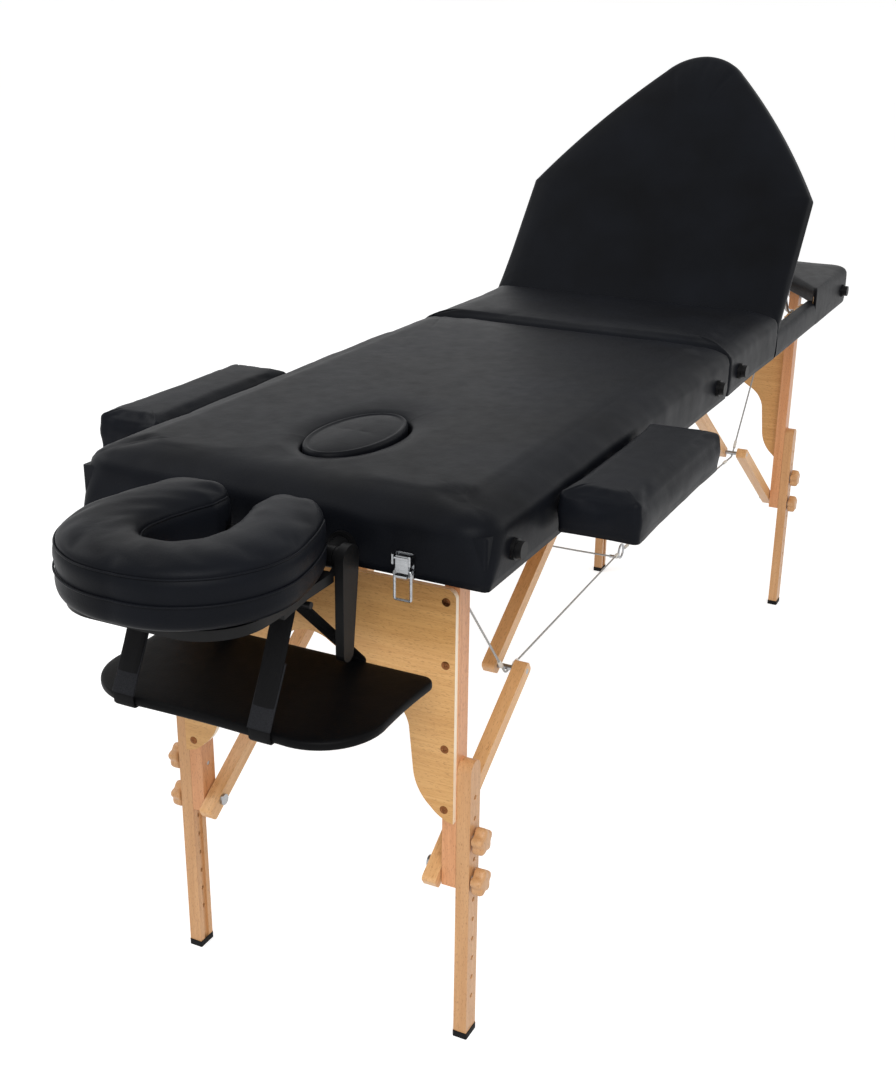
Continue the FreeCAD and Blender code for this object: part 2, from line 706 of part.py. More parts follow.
def latch_lever():
    left = LATCH_Y - LEVER_HALF
    right = LATCH_Y + LEVER_HALF
    x0 = LATCH_PIVOT_X - LEVER / 2
    x1 = LATCH_PIVOT_X + LEVER / 2
    plate = rounded_box(x0, x1, left, right, LEVER_FOOT_Z, LATCH_PIVOT_Z + LEVER_TOP, LEVER_ROUND, Y_AXIS)
    lip_z = LEVER_FOOT_Z + LEVER / 4
    lip = box(x0 - LEVER_LIP, x0 + LEVER / 2, left, right, lip_z, lip_z + LEVER / 2)
    bores = [rod_y(LATCH_PIVOT_X, left - THROUGH, right + THROUGH, LATCH_PIVOT_Z, LATCH_PIN_R + PIVOT_FIT)]
    bores.append(rod_y(LATCH_PIVOT_X, left - THROUGH, right + THROUGH, LOOP_PIVOT_Z, LOOP_R + PIVOT_FIT))
    return cut(fuse([plate, lip]), bores)


def latch_loop():
    left = LATCH_Y - LOOP_HALF
    right = LATCH_Y + LOOP_HALF
    route = [(LATCH_Y - LOOP_END, LOOP_PIVOT_Z), (left, LOOP_PIVOT_Z), (left, LOOP_FOOT_Z)]
    route += [(right, LOOP_FOOT_Z), (right, LOOP_PIVOT_Z), (LATCH_Y + LOOP_END, LOOP_PIVOT_Z)]
    return bent_tube([vec(LATCH_PIVOT_X, y, z) for y, z in route], LOOP_BEND, LOOP_R)


def latch_catch():
    base = box(FRAME_END, FRAME_END + LATCH_BASE_REACH, LATCH_Y - CATCH_HALF, LATCH_Y + CATCH_HALF,
               LATCH_BASE_Z, LATCH_BASE_Z + CATCH_HEIGHT)
    left = LATCH_Y - LEVER_HALF
    right = LATCH_Y + LEVER_HALF
    reach = FRAME_END + CATCH_REACH
    arm = box(FRAME_END, reach, left, right, LATCH_BASE_Z, LATCH_BASE_Z + CATCH_LIP)
    tip = box(reach - CATCH_LIP, reach, left, right, LATCH_BASE_Z, LATCH_BASE_Z + CATCH_TIP_HEIGHT)
    return fuse([base, arm, tip])


# Legs of the head half; the foot half's are their mirror images
def upper_leg():
    x = -LEG_PIVOT_X
    shaft = box(x - HALF_LEG, x + HALF_LEG, UPPER_LEG_Y, UPPER_LEG_OUT_Y, UPPER_LEG_FOOT_Z, LEG_PIVOT_Z)
    head = rod_y(x, UPPER_LEG_Y, UPPER_LEG_OUT_Y, LEG_PIVOT_Z, HALF_LEG)
    tongue = box(x - TONGUE_WIDTH / 2, x + TONGUE_WIDTH / 2, UPPER_LEG_OUT_Y, UPPER_LEG_OUT_Y + TONGUE_HEIGHT,
                 UPPER_LEG_FOOT_Z, LOWER_LEG_TOP_Z)
    tools = []
    for z in (LEG_PIVOT_Z, STRUT_LEG_Z):
        tools.append(rod_y(x, UPPER_LEG_Y - THROUGH, UPPER_LEG_OUT_Y + THROUGH, z, PIVOT_PIN_R + PIVOT_FIT))
    for index in KNOB_HOLES:
        tools.append(rod_y(x, UPPER_LEG_Y - THROUGH, LOWER_LEG_OUT_Y, hole_z(index), STUD_R + PIVOT_FIT))
    return cut(fuse([shaft, head, tongue]), tools)


def hole_z(index):
    return HOLE_TOP_Z - index * HOLE_PITCH


def lower_leg():
    x = -LEG_PIVOT_X
    round_z = LOWER_LEG_TOP_Z - HALF_LEG
    shaft = box(x - HALF_LEG, x + HALF_LEG, LOWER_LEG_Y, LOWER_LEG_OUT_Y, FOOT_SOLE, round_z)
    head = rod_y(x, LOWER_LEG_Y, LOWER_LEG_OUT_Y, round_z, HALF_LEG)
    groove_half = TONGUE_WIDTH / 2 + LEG_SLIDE_GAP
    groove_y = UPPER_LEG_OUT_Y + TONGUE_HEIGHT + LEG_SLIDE_GAP
    tools = [box(x - groove_half, x + groove_half, LOWER_LEG_Y, groove_y, 0, LOWER_LEG_TOP_Z + THROUGH)]
    for index in range(HOLE_COUNT):
        tools.append(rod_y(x, LOWER_LEG_Y - THROUGH, LOWER_LEG_OUT_Y + THROUGH, hole_z(index), HOLE_R))
    return cut(fuse([shaft, head]), tools)


def rubber_foot():
    x = -LEG_PIVOT_X
    outer = rounded_box(x - HALF_LEG - FOOT_CUP, x + HALF_LEG + FOOT_CUP, LOWER_LEG_Y - FOOT_CUP,
                        LOWER_LEG_OUT_Y + FOOT_CUP, 0, FOOT_HEIGHT, 2 * FOOT_CUP, Z_AXIS)
    cup = box(x - HALF_LEG, x + HALF_LEG, LOWER_LEG_Y, LOWER_LEG_OUT_Y, FOOT_SOLE, FOOT_HEIGHT + THROUGH)
    return cut(outer, [cup])


def knob(index):
    """A lobed wooden knob on a stud that passes through both legs."""
    x = -LEG_PIVOT_X
    z = hole_z(index)
    face = LOWER_LEG_OUT_Y + LEG_SLIDE_GAP + WASHER
    step = 360 / KNOB_LOBES
    flank_r = (KNOB_R + KNOB_WAIST_R) / 2

    def at(radius, degrees):
        angle = math.radians(degrees)
        return vec(x + radius * math.sin(angle), face, z + radius * math.cos(angle))

    edges = []
    for lobe in range(KNOB_LOBES):
        peak = lobe * step
        before = at(flank_r, peak - step / 4)
        after = at(flank_r, peak + step / 4)
        edges.append(arc(before, at(KNOB_R, peak), after))
        edges.append(arc(after, at(KNOB_WAIST_R, peak + step / 2), at(flank_r, peak + step - step / 4)))
    star = prism(edges, vec(0, KNOB_THICK, 0))
    stud = rod_y(x, UPPER_LEG_Y, face + KNOB_THICK / 2, z, STUD_R)
    washer = rod_y(x, face - WASHER, face + THROUGH, z, WASHER_R)
    return fuse([star, stud, washer])


def end_panel():
    """An arched panel on the legs' outer faces, drawn as a half outline and its mirror image."""
    x = -LEG_PIVOT_X - HALF_LEG - PANEL
    right = PANEL_HALF_WIDTH
    top = PANEL_TOP_Z
    share = PANEL_CORNER_R * (1 - math.sqrt(0.5))
    top_end = vec(x, right - PANEL_CORNER_R, top)
    side_top = vec(x, right, top - PANEL_CORNER_R)
    side_foot = vec(x, right, PANEL_FOOT_Z)
    foot = [vec(x, right - step, PANEL_FOOT_Z + rise) for step, rise in PANEL_FOOT_CURVE]
    arch = [vec(x, right - step, ARCH_TOP_Z - drop) for step, drop in PANEL_ARCH_CURVE]
    peak = vec(x, 0, ARCH_TOP_Z)
    outline = Part.Wire([
        line(vec(x, 0, top), top_end),
        arc(top_end, vec(x, right - share, top - share), side_top),
        line(side_top, side_foot),
        arc(side_foot, foot[0], foot[1]),
        arc(foot[1], foot[2], foot[3]),
        line(foot[3], arch[0]),
        arc(arch[0], arch[1], arch[2]),
        arc(arch[2], arch[3], arch[4]),
        arc(arch[4], arch[5], peak),
        line(peak, vec(x, 0, top)),
    ])
    side = Part.Face(outline).extrude(vec(PANEL, 0, 0))
    return side.fuse(mirror_y(side)).removeSplitter()


# Folding struts of the head half
def strut(x, z, length, slope, y0, start_overhang):
    """A bar from the pivot at x, z, rising towards +X at the given slope, with pivot bores at both ends."""
    bar = rounded_box(-start_overhang, length + STRUT_OVERHANG, y0, y0 + STRUT_WIDTH, -HALF_STRUT, HALF_STRUT,
                      STRUT_ROUND, Y_AXIS)
    bar.rotate(ORIGIN, Y_AXIS, -slope)
    bar.translate(vec(x, 0, z))
    return bar


def lower_strut():
    bar = strut(-LEG_PIVOT_X, STRUT_LEG_Z, LOWER_STRUT, STRUT_SLOPE, LOWER_STRUT_Y, STRUT_FOOT_OVERHANG)
    radius = PIVOT_PIN_R + PIVOT_FIT
    y0 = LOWER_STRUT_Y - THROUGH
    y1 = LOWER_STRUT_OUT_Y + THROUGH
    leg_bore = rod_y(-LEG_PIVOT_X, y0, y1, STRUT_LEG_Z, radius)
    return cut(bar, [leg_bore, rod_y(ELBOW_X, y0, y1, ELBOW_Z, radius)])


def upper_strut():
    bar = strut(ELBOW_X, ELBOW_Z, UPPER_STRUT, STRUT_SLOPE, UPPER_STRUT_Y, STRUT_OVERHANG)
    y0 = UPPER_STRUT_Y - THROUGH
    y1 = UPPER_STRUT_OUT_Y + THROUGH
    return cut(bar, [rod_y(-STRUT_FRAME_X, y0, y1, STRUT_FRAME_Z, STRUT_PIN_R + PIVOT_FIT),
                     rod_y(ELBOW_X, y0, y1, ELBOW_Z, PIVOT_PIN_R + PIVOT_FIT)])


def strut_bolts():
    """The leg pivot's bolt, and the elbow's bolt that reaches from the lower strut to the upper one."""
    head_y = LOWER_STRUT_Y - BOLT_HEAD
    leg_bolt = rod_y(-LEG_PIVOT_X, head_y, UPPER_LEG_OUT_Y - THROUGH, STRUT_LEG_Z, PIVOT_PIN_R)
    leg_head = rod_y(-LEG_PIVOT_X, head_y, LOWER_STRUT_Y, STRUT_LEG_Z, BOLT_HEAD_R)
    elbow_bolt = rod_y(ELBOW_X, UPPER_STRUT_OUT_Y + SOFT_GAP, LOWER_STRUT_OUT_Y, ELBOW_Z, PIVOT_PIN_R)
    return [fuse([leg_bolt, leg_head]), elbow_bolt]


# Bracing cables
def cable():
    """From the tab beside the leg's pivot, under the elbow's bolt, to the ring under the fold."""
    tab_x = -LEG_PIVOT_X + CABLE_TAB_OFFSET
    wrap = PIVOT_PIN_R + CABLE_R + SOFT_GAP
    under = vec(ELBOW_X - wrap * CABLE_ELBOW_LEAD, CABLE_Y, ELBOW_Z - wrap)
    start = vec(tab_x, CABLE_Y, CABLE_TAB_Z - SOFT_GAP - CABLE_R)
    end = vec(-CABLE_RING_R - CABLE_RING_WIRE_R - SOFT_GAP, CABLE_RING_Y, CABLE_RING_Z)
    rope = bent_tube([start, under, end], wrap, CABLE_R)
    along = (under - start).normalize()
    sleeves = [Part.makeCylinder(SLEEVE_R, SLEEVE_LENGTH, start + along * SLEEVE_R, along)]
    back = (under - end).normalize()
    sleeves.append(Part.makeCylinder(SLEEVE_R, SLEEVE_LENGTH, end + back * SLEEVE_R, back))
    sleeves.append(Part.makeCylinder(SLEEVE_R, SLEEVE_LENGTH, under - back * (2 * SLEEVE_LENGTH), back * -1))
    return fuse([rope] + sleeves)


def cross_cable():
    ring = Part.makeTorus(CABLE_RING_R, CABLE_RING_WIRE_R, vec(0, CABLE_RING_Y, CABLE_RING_Z), Y_AXIS)
    rope = rod_y(0, -CABLE_RING_Y, CABLE_RING_Y, CABLE_RING_Z - CABLE_RING_R, CABLE_R)
    return fuse(both_sides(ring) + [rope])


# Foot half
def back_outline(inset, start, z):
    """The backrest's outline, flat, at height z, from x = hinge + start to its rounded peak."""
    half = BACK_HALF_WIDTH - inset
    shoulder = BACK_SHOULDER - inset / 3
    taper = BACK_TAPER_END - inset
    taper_half = BACK_TAPER_HALF_WIDTH - inset / 2
    peak = BACK_LENGTH - inset
    bulge_x = (shoulder + taper) / 2 + BACK_BULGE[0]
    bulge_y = (half + taper_half) / 2 + BACK_BULGE[1]
    turn_x = taper + (peak - taper) * BACK_PEAK_TURN[0]
    turn_y = taper_half * BACK_PEAK_TURN[1]

    def at(s, y):
        return vec(BACK_HINGE_X + s, y, z)

    return [
        line(at(start, -half), at(shoulder, -half)),
        arc(at(shoulder, -half), at(bulge_x, -bulge_y), at(taper, -taper_half)),
        arc(at(taper, -taper_half), at(turn_x, -turn_y), at(peak, 0)),
        arc(at(peak, 0), at(turn_x, turn_y), at(taper, taper_half)),
        arc(at(taper, taper_half), at(bulge_x, bulge_y), at(shoulder, half)),
        line(at(shoulder, half), at(start, half)),
        line(at(start, half), at(start, -half)),
    ]


def back_space(z0):
    """The space that the flat backrest takes, with its gap, from z0 upwards."""
    edges = back_outline(-BACK_GAP, -BACK_CUSHION - SEAT_GAP, z0)
    return prism(edges, vec(0, 0, TOP_Z))


def back_roll_space():
    """The room that the backrest's round lower end turns in."""
    return rod_y(BACK_HINGE_X, -BEYOND, BEYOND, BACK_HINGE_Z, BACK_CUSHION + SEAT_GAP)


def foot_frame():
    """Rails with the seat's deck board, lower rails behind it, corner gussets and the prop's notch rails."""
    spaces = [mirror_x(space) for space in rail_spaces(RAIL_TOP_Z)]
    seat = box(FOLD_RAIL_GAP, SEAT_END, -FRAME_HALF_WIDTH, FRAME_HALF_WIDTH, BOTTOM_Z, DECK_TOP_Z)
    deck = box(0, SEAT_END, -HALF_WIDTH, HALF_WIDTH, RAIL_TOP_Z, DECK_TOP_Z)
    low = mirror_x(frame_block(-SEAT_END, BOTTOM_Z, LOW_RAIL_Z))
    roll = [back_roll_space()]
    pieces = divide(seat, spaces + [deck]) + divide(cut(low, roll), spaces)
    corners = mirror_x(frame_block(-SEAT_END, LOW_RAIL_Z, DECK_TOP_Z))
    between = box(0, HALF_LENGTH, -CORNER_END_Y, CORNER_END_Y, LOW_RAIL_Z, DECK_TOP_Z)
    corners = cut(corners, [back_space(LOW_RAIL_Z - THROUGH), between])
    gussets = box(0, HALF_LENGTH, -HALF_WIDTH, HALF_WIDTH, GUSSET_Z, DECK_TOP_Z)
    pieces += divide(corners, [mirror_x(space) for space in rail_spaces(GUSSET_Z)] + [gussets])
    return pieces + both_sides(notch_rail())


def prop_foot(tilt):
    """Where the prop's foot lies, in x and z, when the backrest is tilted."""
    angle = math.radians(tilt)
    x = BACK_HINGE_X + PROP_FROM_HINGE * math.cos(angle) + PROP_DROP * math.sin(angle)
    z = BACK_HINGE_Z + PROP_FROM_HINGE * math.sin(angle) - PROP_DROP * math.cos(angle)
    return x + PROP_LENGTH * math.cos(angle), z - PROP_LENGTH * math.sin(angle)


def notch_rail():
    """A rail on the side rail's inner face that the prop's foot stands on, raised where it rests."""
    y0 = CAVITY_HALF_WIDTH - NOTCH_RAIL
    rail = box(NOTCH_RAIL_START, NOTCH_RAIL_END, y0, CAVITY_HALF_WIDTH, NOTCH_RAIL_Z - NOTCH_RAIL_HEIGHT,
               NOTCH_RAIL_Z)
    rest_x, rest_z = prop_foot(BACK_TILT)
    saddle = box(rest_x - NOTCH_SADDLE / 2, rest_x + NOTCH_SADDLE / 2, y0, CAVITY_HALF_WIDTH,
                 NOTCH_RAIL_Z - NOTCH_R, rest_z - PROP_R - SOFT_GAP)
    notches = []
    for index in range(1, NOTCH_COUNT + 1):
        x = rest_x + index * NOTCH_STEP
        notches.append(rod_y(x, y0 - THROUGH, CAVITY_HALF_WIDTH, NOTCH_RAIL_Z, NOTCH_R))
    return cut(rail.fuse(saddle), notches)


def seat_cushion():
    levels = crown_levels(BOTTOM_Z, TOP_Z, EDGE_ROUND, CROWN_RISE, CROWN_INSET)
    form = pad(FOLD_COVER_GAP, SEAT_END, -HALF_WIDTH, HALF_WIDTH, levels,
               (INNER_CORNER_R, LEAST_CORNER), (0, 0, SIDE_DIP))
    block = box(-BEYOND, BEYOND, -FRAME_HALF_WIDTH, FRAME_HALF_WIDTH, 0, DECK_TOP_Z)
    return cut(form, [block] + [mirror_x(tool) for tool in bumper_seats() + handle_seats()])


def foot_edge_pads(frame):
    levels = crown_levels(BOTTOM_Z, EDGE_PAD_TOP_Z, EDGE_ROUND, CROWN_RISE, CROWN_INSET)
    form = pad(SEAT_END, HALF_LENGTH, -HALF_WIDTH, HALF_WIDTH, levels,
               (LEAST_CORNER, CORNER_R), (0, SIDE_DIP, SIDE_DIP))
    inside = box(-BEYOND, CAVITY_END, -CAVITY_HALF_WIDTH, CAVITY_HALF_WIDTH, 0, DECK_TOP_Z)
    tools = frame + [inside, back_space(LOW_RAIL_Z + LOW_RAIL_COVER), back_roll_space()]
    tools.append(mirror_x(frame_block(-SEAT_END, 0, LOW_RAIL_Z)))
    seats = bumper_seats() + handle_seats() + latch_seats(CATCH_HALF, CATCH_HEIGHT)
    tools += [mirror_x(seat) for seat in seats]
    return [solid for solid in cut(form, tools).Solids if solid.Volume > BEYOND]


def back_lug():
    """A lug on the side rail's inner face, with the pin that the backrest turns on."""
    y0 = CAVITY_HALF_WIDTH - LUG
    stem = box(BACK_HINGE_X - LUG_STEM / 2, BACK_HINGE_X + LUG_STEM / 2, y0, CAVITY_HALF_WIDTH,
               BACK_HINGE_Z - LUG_DEPTH, BACK_HINGE_Z)
    eye = rod_y(BACK_HINGE_X, y0, CAVITY_HALF_WIDTH, BACK_HINGE_Z, LUG_EYE_R)
    pin = rod_y(BACK_HINGE_X, y0 - BACK_PIN_REACH, CAVITY_HALF_WIDTH, BACK_HINGE_Z, PIVOT_PIN_R)
    return fuse([stem, eye, pin])


def foot_brackets():
    ys = knuckle_ys()
    pieces = []
    for piece in (leg_clevis(GUSSET_Z), strut_clevis(), hinge_leaf(ys[2], ys[3])):
        pieces += [mirror_x(shape) for shape in both_sides(piece)]
    return pieces + both_sides(back_lug())


def tilted(shape):
    """Turns a flat backrest piece up to the tilt that it rests at."""
    turned = shape.copy()
    turned.rotate(vec(BACK_HINGE_X, 0, BACK_HINGE_Z), Y_AXIS, -BACK_TILT)
    return turned


BATTEN_HALF = CAVITY_HALF_WIDTH - LUG - LUG_GAP


def prop_pivot():
    return BACK_HINGE_X + PROP_FROM_HINGE, BACK_HINGE_Z - PROP_DROP


def backrest_board():
    under = BACK_HINGE_Z - BACK_BOARD
    clear = LUG_EYE_R + LUG
    sheet = prism(back_outline(BACK_BOARD_INSET, clear, under), vec(0, 0, BACK_BOARD))
    tongue = box(BACK_HINGE_X, BACK_HINGE_X + clear + THROUGH, -BATTEN_HALF, BATTEN_HALF, under, BACK_HINGE_Z)
    batten = rod_y(BACK_HINGE_X, -BATTEN_HALF, BATTEN_HALF, BACK_HINGE_Z, BACK_BATTEN_R)
    x, z = prop_pivot()
    lugs = []
    bores = []
    for sign in (-1, 1):
        middle = sign * (PROP_Y - PROP_R - PROP_LUG_GAP - PROP_LUG / 2)
        lugs.append(box(x - 2 * PROP_R, x + 2 * PROP_R, middle - PROP_LUG / 2, middle + PROP_LUG / 2,
                        z - 2 * PROP_R, under + THROUGH))
        bores.append(rod_y(x, middle - PROP_LUG, middle + PROP_LUG, z, PROP_R + PIVOT_FIT))
        end = sign * BATTEN_HALF
        reach = BACK_PIN_REACH + THROUGH
        bores.append(rod_y(BACK_HINGE_X, end - reach, end + reach, BACK_HINGE_Z, PIVOT_PIN_R + PIVOT_FIT))
    return tilted(cut(fuse([sheet, tongue, batten] + lugs), bores))


def backrest_cushion():
    """Flat lower face, quarter-round end about the hinge, rounded edges and a low crown."""
    top = ((BACK_CUSHION, BACK_TOP_INSET), (BACK_CUSHION + BACK_CROWN, BACK_CROWN_INSET))
    wires = []
    for rise, inset in BACK_EDGE + top:
        start = inset / 2 if rise >= BACK_CUSHION else -math.sqrt(BACK_CUSHION ** 2 - rise ** 2)
        if rise == 0:
            start += BACK_HEEL_TRIM
        wires.append(Part.Wire(back_outline(inset, start, BACK_HINGE_Z + rise)))
    tunnel = rod_y(BACK_HINGE_X, -BEYOND, BEYOND, BACK_HINGE_Z, BACK_BATTEN_R)
    return tilted(cut(Part.makeLoft(wires, True, True), [tunnel]))


def backrest_prop():
    """Two bent-wire arms, each turned inward through its lug and outward onto the notch rail."""
    x, z = prop_pivot()
    inner = PROP_Y - PROP_R - PROP_LUG_GAP - PROP_LUG
    points = [vec(x, inner, z), vec(x, PROP_Y, z)]
    points += [vec(x + PROP_LENGTH, PROP_Y, z), vec(x + PROP_LENGTH, PROP_FOOT_END_Y, z)]
    arms = both_sides(bent_tube(points, PROP_BEND, PROP_R))
    for arm in arms:
        arm.rotate(vec(x, 0, z), Y_AXIS, 2 * BACK_TILT)
    return [tilted(arm) for arm in arms]


# Face cradle
CHEEK_Y = POST_Y + CROSSBAR_R + CHEEK_SIDE_GAP
CAM_LEVER_Y = CHEEK_Y + CHEEK + CAM_LEVER_GAP


def cradle_posts():
    """Two posts joined by a crossbar whose thinner ends carry the platform and the cam lever."""
    posts = both_sides(rod_x(-CROSSBAR_X, -FRAME_END + POST_END, POST_Y, POST_Z, POST_R))
    bar = rod_y(-CROSSBAR_X, -POST_Y - CROSSBAR_R, POST_Y + CROSSBAR_R, POST_Z, CROSSBAR_R)
    journal = rod_y(-CROSSBAR_X, -CAM_LEVER_Y - CAM_LEVER, CHEEK_Y + CHEEK, POST_Z, JOURNAL_R)
    return fuse(posts + [bar, journal])


def cradle_platform():
    """A slotted board with a cheek on each side that turns on the crossbar, and the strap bar below."""
    top = CRADLE_BOTTOM_Z
    under = top - CRADLE_BOARD
    half = CHEEK_Y + CHEEK
    board = box(-CRADLE_BOARD_FRONT, -CRADLE_BOARD_REAR, -half, half, under, top)
    rear = -CRADLE_BOARD_REAR
    front = [edge for edge in edges_along(board, Z_AXIS) if edge.CenterOfMass.x < rear - THROUGH]
    board = board.makeFillet(CRADLE_BOARD_CORNER, front)
    slot = rounded_box(-CRADLE_SLOT_FRONT, -CRADLE_BOARD_REAR + BEYOND, -CRADLE_SLOT_HALF, CRADLE_SLOT_HALF,
                       under - THROUGH, top + THROUGH, CRADLE_SLOT_HALF / 2, Z_AXIS)
    pieces = [cut(board, [slot])]
    for y0 in (-half, CHEEK_Y):
        eye = rod_y(-CROSSBAR_X, y0, y0 + CHEEK, POST_Z, CROSSBAR_R)
        corners = [(-CROSSBAR_X, POST_Z - CROSSBAR_R), (-CRADLE_CHEEK_FRONT, under - CHEEK)]
        corners += [(-CRADLE_CHEEK_FRONT, top - THROUGH), (rear, top - THROUGH), (-CROSSBAR_X, POST_Z)]
        arm = polygon_plate([vec(x, y0, z) for x, z in corners], vec(0, CHEEK, 0))
        pieces += [eye, arm]
    for y0 in (-STRAP_BAR_EYE_Y - STRAP_BAR_EYE, STRAP_BAR_EYE_Y):
        pieces.append(box(-STRAP_BAR_X - STRAP_BAR_R, -STRAP_BAR_X + STRAP_BAR_R, y0, y0 + STRAP_BAR_EYE,
                          STRAP_BAR_Z - STRAP_BAR_R, under + THROUGH))
    for y0, y1 in ((STRAP_BAR_EYE_Y, half), (-half, -STRAP_BAR_EYE_Y)):
        pieces.append(rod_y(-STRAP_BAR_X, y0, y1, STRAP_BAR_Z, STRAP_BAR_R))
    journal = rod_y(-CROSSBAR_X, -BEYOND, BEYOND, POST_Z, JOURNAL_R + PIVOT_FIT)
    return cut(fuse(pieces), [journal])


def horseshoe(inset, z):
    """The cradle cushion's outline: round front, two arms that close in towards the table."""
    front = -CRADLE_FRONT + inset
    rear = -CRADLE_REAR - inset
    wide = CRADLE_HALF_WIDTH - inset
    wide_x = -CRADLE_WIDEST_X
    end_out = CRADLE_END_HALF_WIDTH - inset
    end_in = CRADLE_GAP_HALF + CRADLE_END_ROUND + inset
    gap = CRADLE_GAP_HALF + inset
    hole = CRADLE_HOLE_HALF + inset
    hole_front = -CRADLE_HOLE_FRONT - inset
    hole_x = -CRADLE_HOLE_FRONT + CRADLE_HOLE_REACH
    gap_x = -CRADLE_REAR - CRADLE_MOUTH
    end_x = rear - CRADLE_END_ROUND

    def at(x, y):
        return vec(x, y, z)

    half = [
        (at(front, 0), at(front + CRADLE_FRONT_BOW[0] * (wide_x - front), CRADLE_FRONT_BOW[1] * wide),
         at(wide_x, wide)),
        (at(wide_x, wide), at((wide_x + rear) / 2, (wide + end_out) / 2 + CRADLE_SIDE_BOW),
         at(end_x, end_out)),
        (at(end_x, end_out), at(rear, (end_out + end_in) / 2), at(end_x, end_in)),
        (at(end_x, end_in), at((end_x + gap_x) / 2, gap + CRADLE_MOUTH_BOW), at(gap_x, gap)),
        (at(gap_x, gap), at((gap_x + hole_x) / 2, (gap + hole) / 2 + CRADLE_THROAT_BOW), at(hole_x, hole)),
        (at(hole_x, hole),
         at(hole_front + CRADLE_HOLE_BOW[0] * (hole_x - hole_front), CRADLE_HOLE_BOW[1] * hole),
         at(hole_front, 0)),
    ]
    other = [tuple(vec(p.x, -p.y, p.z) for p in reversed(points)) for points in reversed(half)]
    return Part.Wire([arc(a, m, b) for a, m, b in half + other])


def cradle_cushion():
    crown_inset = CRADLE_ROUND + CRADLE_CROWN
    levels = crown_levels(CRADLE_BOTTOM_Z, CRADLE_TOP_Z, CRADLE_ROUND, CRADLE_CROWN, crown_inset)
    form = Part.makeLoft([horseshoe(inset, z) for z, inset in levels], True, True)
    clear = CROSSBAR_R + CROSSBAR_CLEARANCE
    step = box(-CROSSBAR_X - clear, 0, -BEYOND, BEYOND, 0, POST_Z + clear)
    return cut(form, [step])


def cradle_cam_lever():
    """A tapering lever that hangs from the crossbar's right end."""
    y0 = -CAM_LEVER_Y - CAM_LEVER
    tip_z = POST_Z - CAM_LEVER_LENGTH
    head = rod_y(-CROSSBAR_X, y0, y0 + CAM_LEVER, POST_Z, CAM_LEVER_HEAD_R)
    tip_x = -CROSSBAR_X - CAM_LEVER_LEAN
    front_top = vec(-CROSSBAR_X - CAM_LEVER_HEAD_R, y0, POST_Z)
    front_foot = vec(tip_x - CAM_LEVER_TIP_HALF, y0, tip_z)
    rear_foot = vec(tip_x + CAM_LEVER_TIP_HALF, y0, tip_z)
    rear_top = vec(-CROSSBAR_X + CAM_LEVER_HEAD_R, y0, POST_Z)
    tip = arc(front_foot, vec(tip_x, y0, tip_z - CAM_LEVER_TIP_ROUND), rear_foot)
    edges = [line(front_top, front_foot), tip, line(rear_foot, rear_top), line(rear_top, front_top)]
    blade = prism(edges, vec(0, CAM_LEVER, 0))
    return cut(fuse([head, blade]), [rod_y(-CROSSBAR_X, -BEYOND, 0, POST_Z, JOURNAL_R + PIVOT_FIT)])


# Arm shelf
def arm_shelf():
    levels = [(SHELF_Z, SHELF_EDGE), (SHELF_Z + SHELF_EDGE, 0), (SHELF_Z + SHELF - SHELF_EDGE, 0),
              (SHELF_Z + SHELF - SHELF_EDGE / 3, SHELF_EDGE / 2), (SHELF_Z + SHELF, 2 * SHELF_EDGE)]
    return pad(-SHELF_FRONT, -SHELF_REAR, -SHELF_HALF_WIDTH, SHELF_HALF_WIDTH, levels,
               (SHELF_FRONT_CORNER, SHELF_REAR_CORNER), (2 * SIDE_DIP, 0, SIDE_DIP))


def shelf_strap():
    """A webbing loop from the strap bar, round the shelf's front, underside and rear."""
    y0 = STRAP_Y - STRAP_WIDTH / 2
    hug = STRAP_BAR_R + SOFT_GAP
    apex_z = STRAP_BAR_Z + hug

    def loop(grow, low):
        front = -SHELF_FRONT - SOFT_GAP - grow
        rear = -SHELF_REAR + SOFT_GAP + grow
        high = SHELF_Z + SHELF
        corners = [(-STRAP_BAR_X - hug - grow, apex_z + grow), (front, high), (front, low)]
        corners += [(rear, low), (rear, high), (-STRAP_BAR_X + hug + grow, apex_z + grow)]
        return [vec(x, y0, z) for x, z in corners]

    outer = polygon_plate(loop(STRAP, SHELF_Z - SOFT_GAP - STRAP), vec(0, STRAP_WIDTH, 0))
    inner = polygon_plate(loop(0, SHELF_Z - SOFT_GAP), vec(0, STRAP_WIDTH, 0))
    return outer.cut(inner)


# Side armrests, drawn on the left
def armrest_box(inset):
    x0 = -ARMREST_X - ARMREST_LENGTH / 2
    y0 = HALF_WIDTH + ARMREST_GAP
    return x0 + inset, x0 + ARMREST_LENGTH - inset, y0 + inset, y0 + ARMREST_WIDTH - inset


def armrest_pad():
    x0, x1, y0, y1 = armrest_box(0)
    under = ARMREST_TOP_Z - ARMREST_PAD
    levels = crown_levels(under, ARMREST_TOP_Z, ARMREST_ROUND, CROWN_RISE, ARMREST_CROWN_INSET)
    return pad(x0, x1, y0, y1, levels, (ARMREST_CORNER, ARMREST_CORNER), (SIDE_DIP, SIDE_DIP, SIDE_DIP))


def armrest_board():
    x0, x1, y0, y1 = armrest_box(ARMREST_INSET)
    top = ARMREST_TOP_Z - ARMREST_PAD
    board = rounded_box(x0, x1, y0 - ARMREST_INSET / 2, y1, top - ARMREST_BOARD, top,
                        ARMREST_CORNER - ARMREST_INSET, Z_AXIS)
    end = CAVITY_HALF_WIDTH + DOWEL_END_GAP
    return fuse([board] + [rod_y(x, end, y0 + ARMREST_CORNER, DOWEL_Z, DOWEL_R) for x in dowel_xs()])


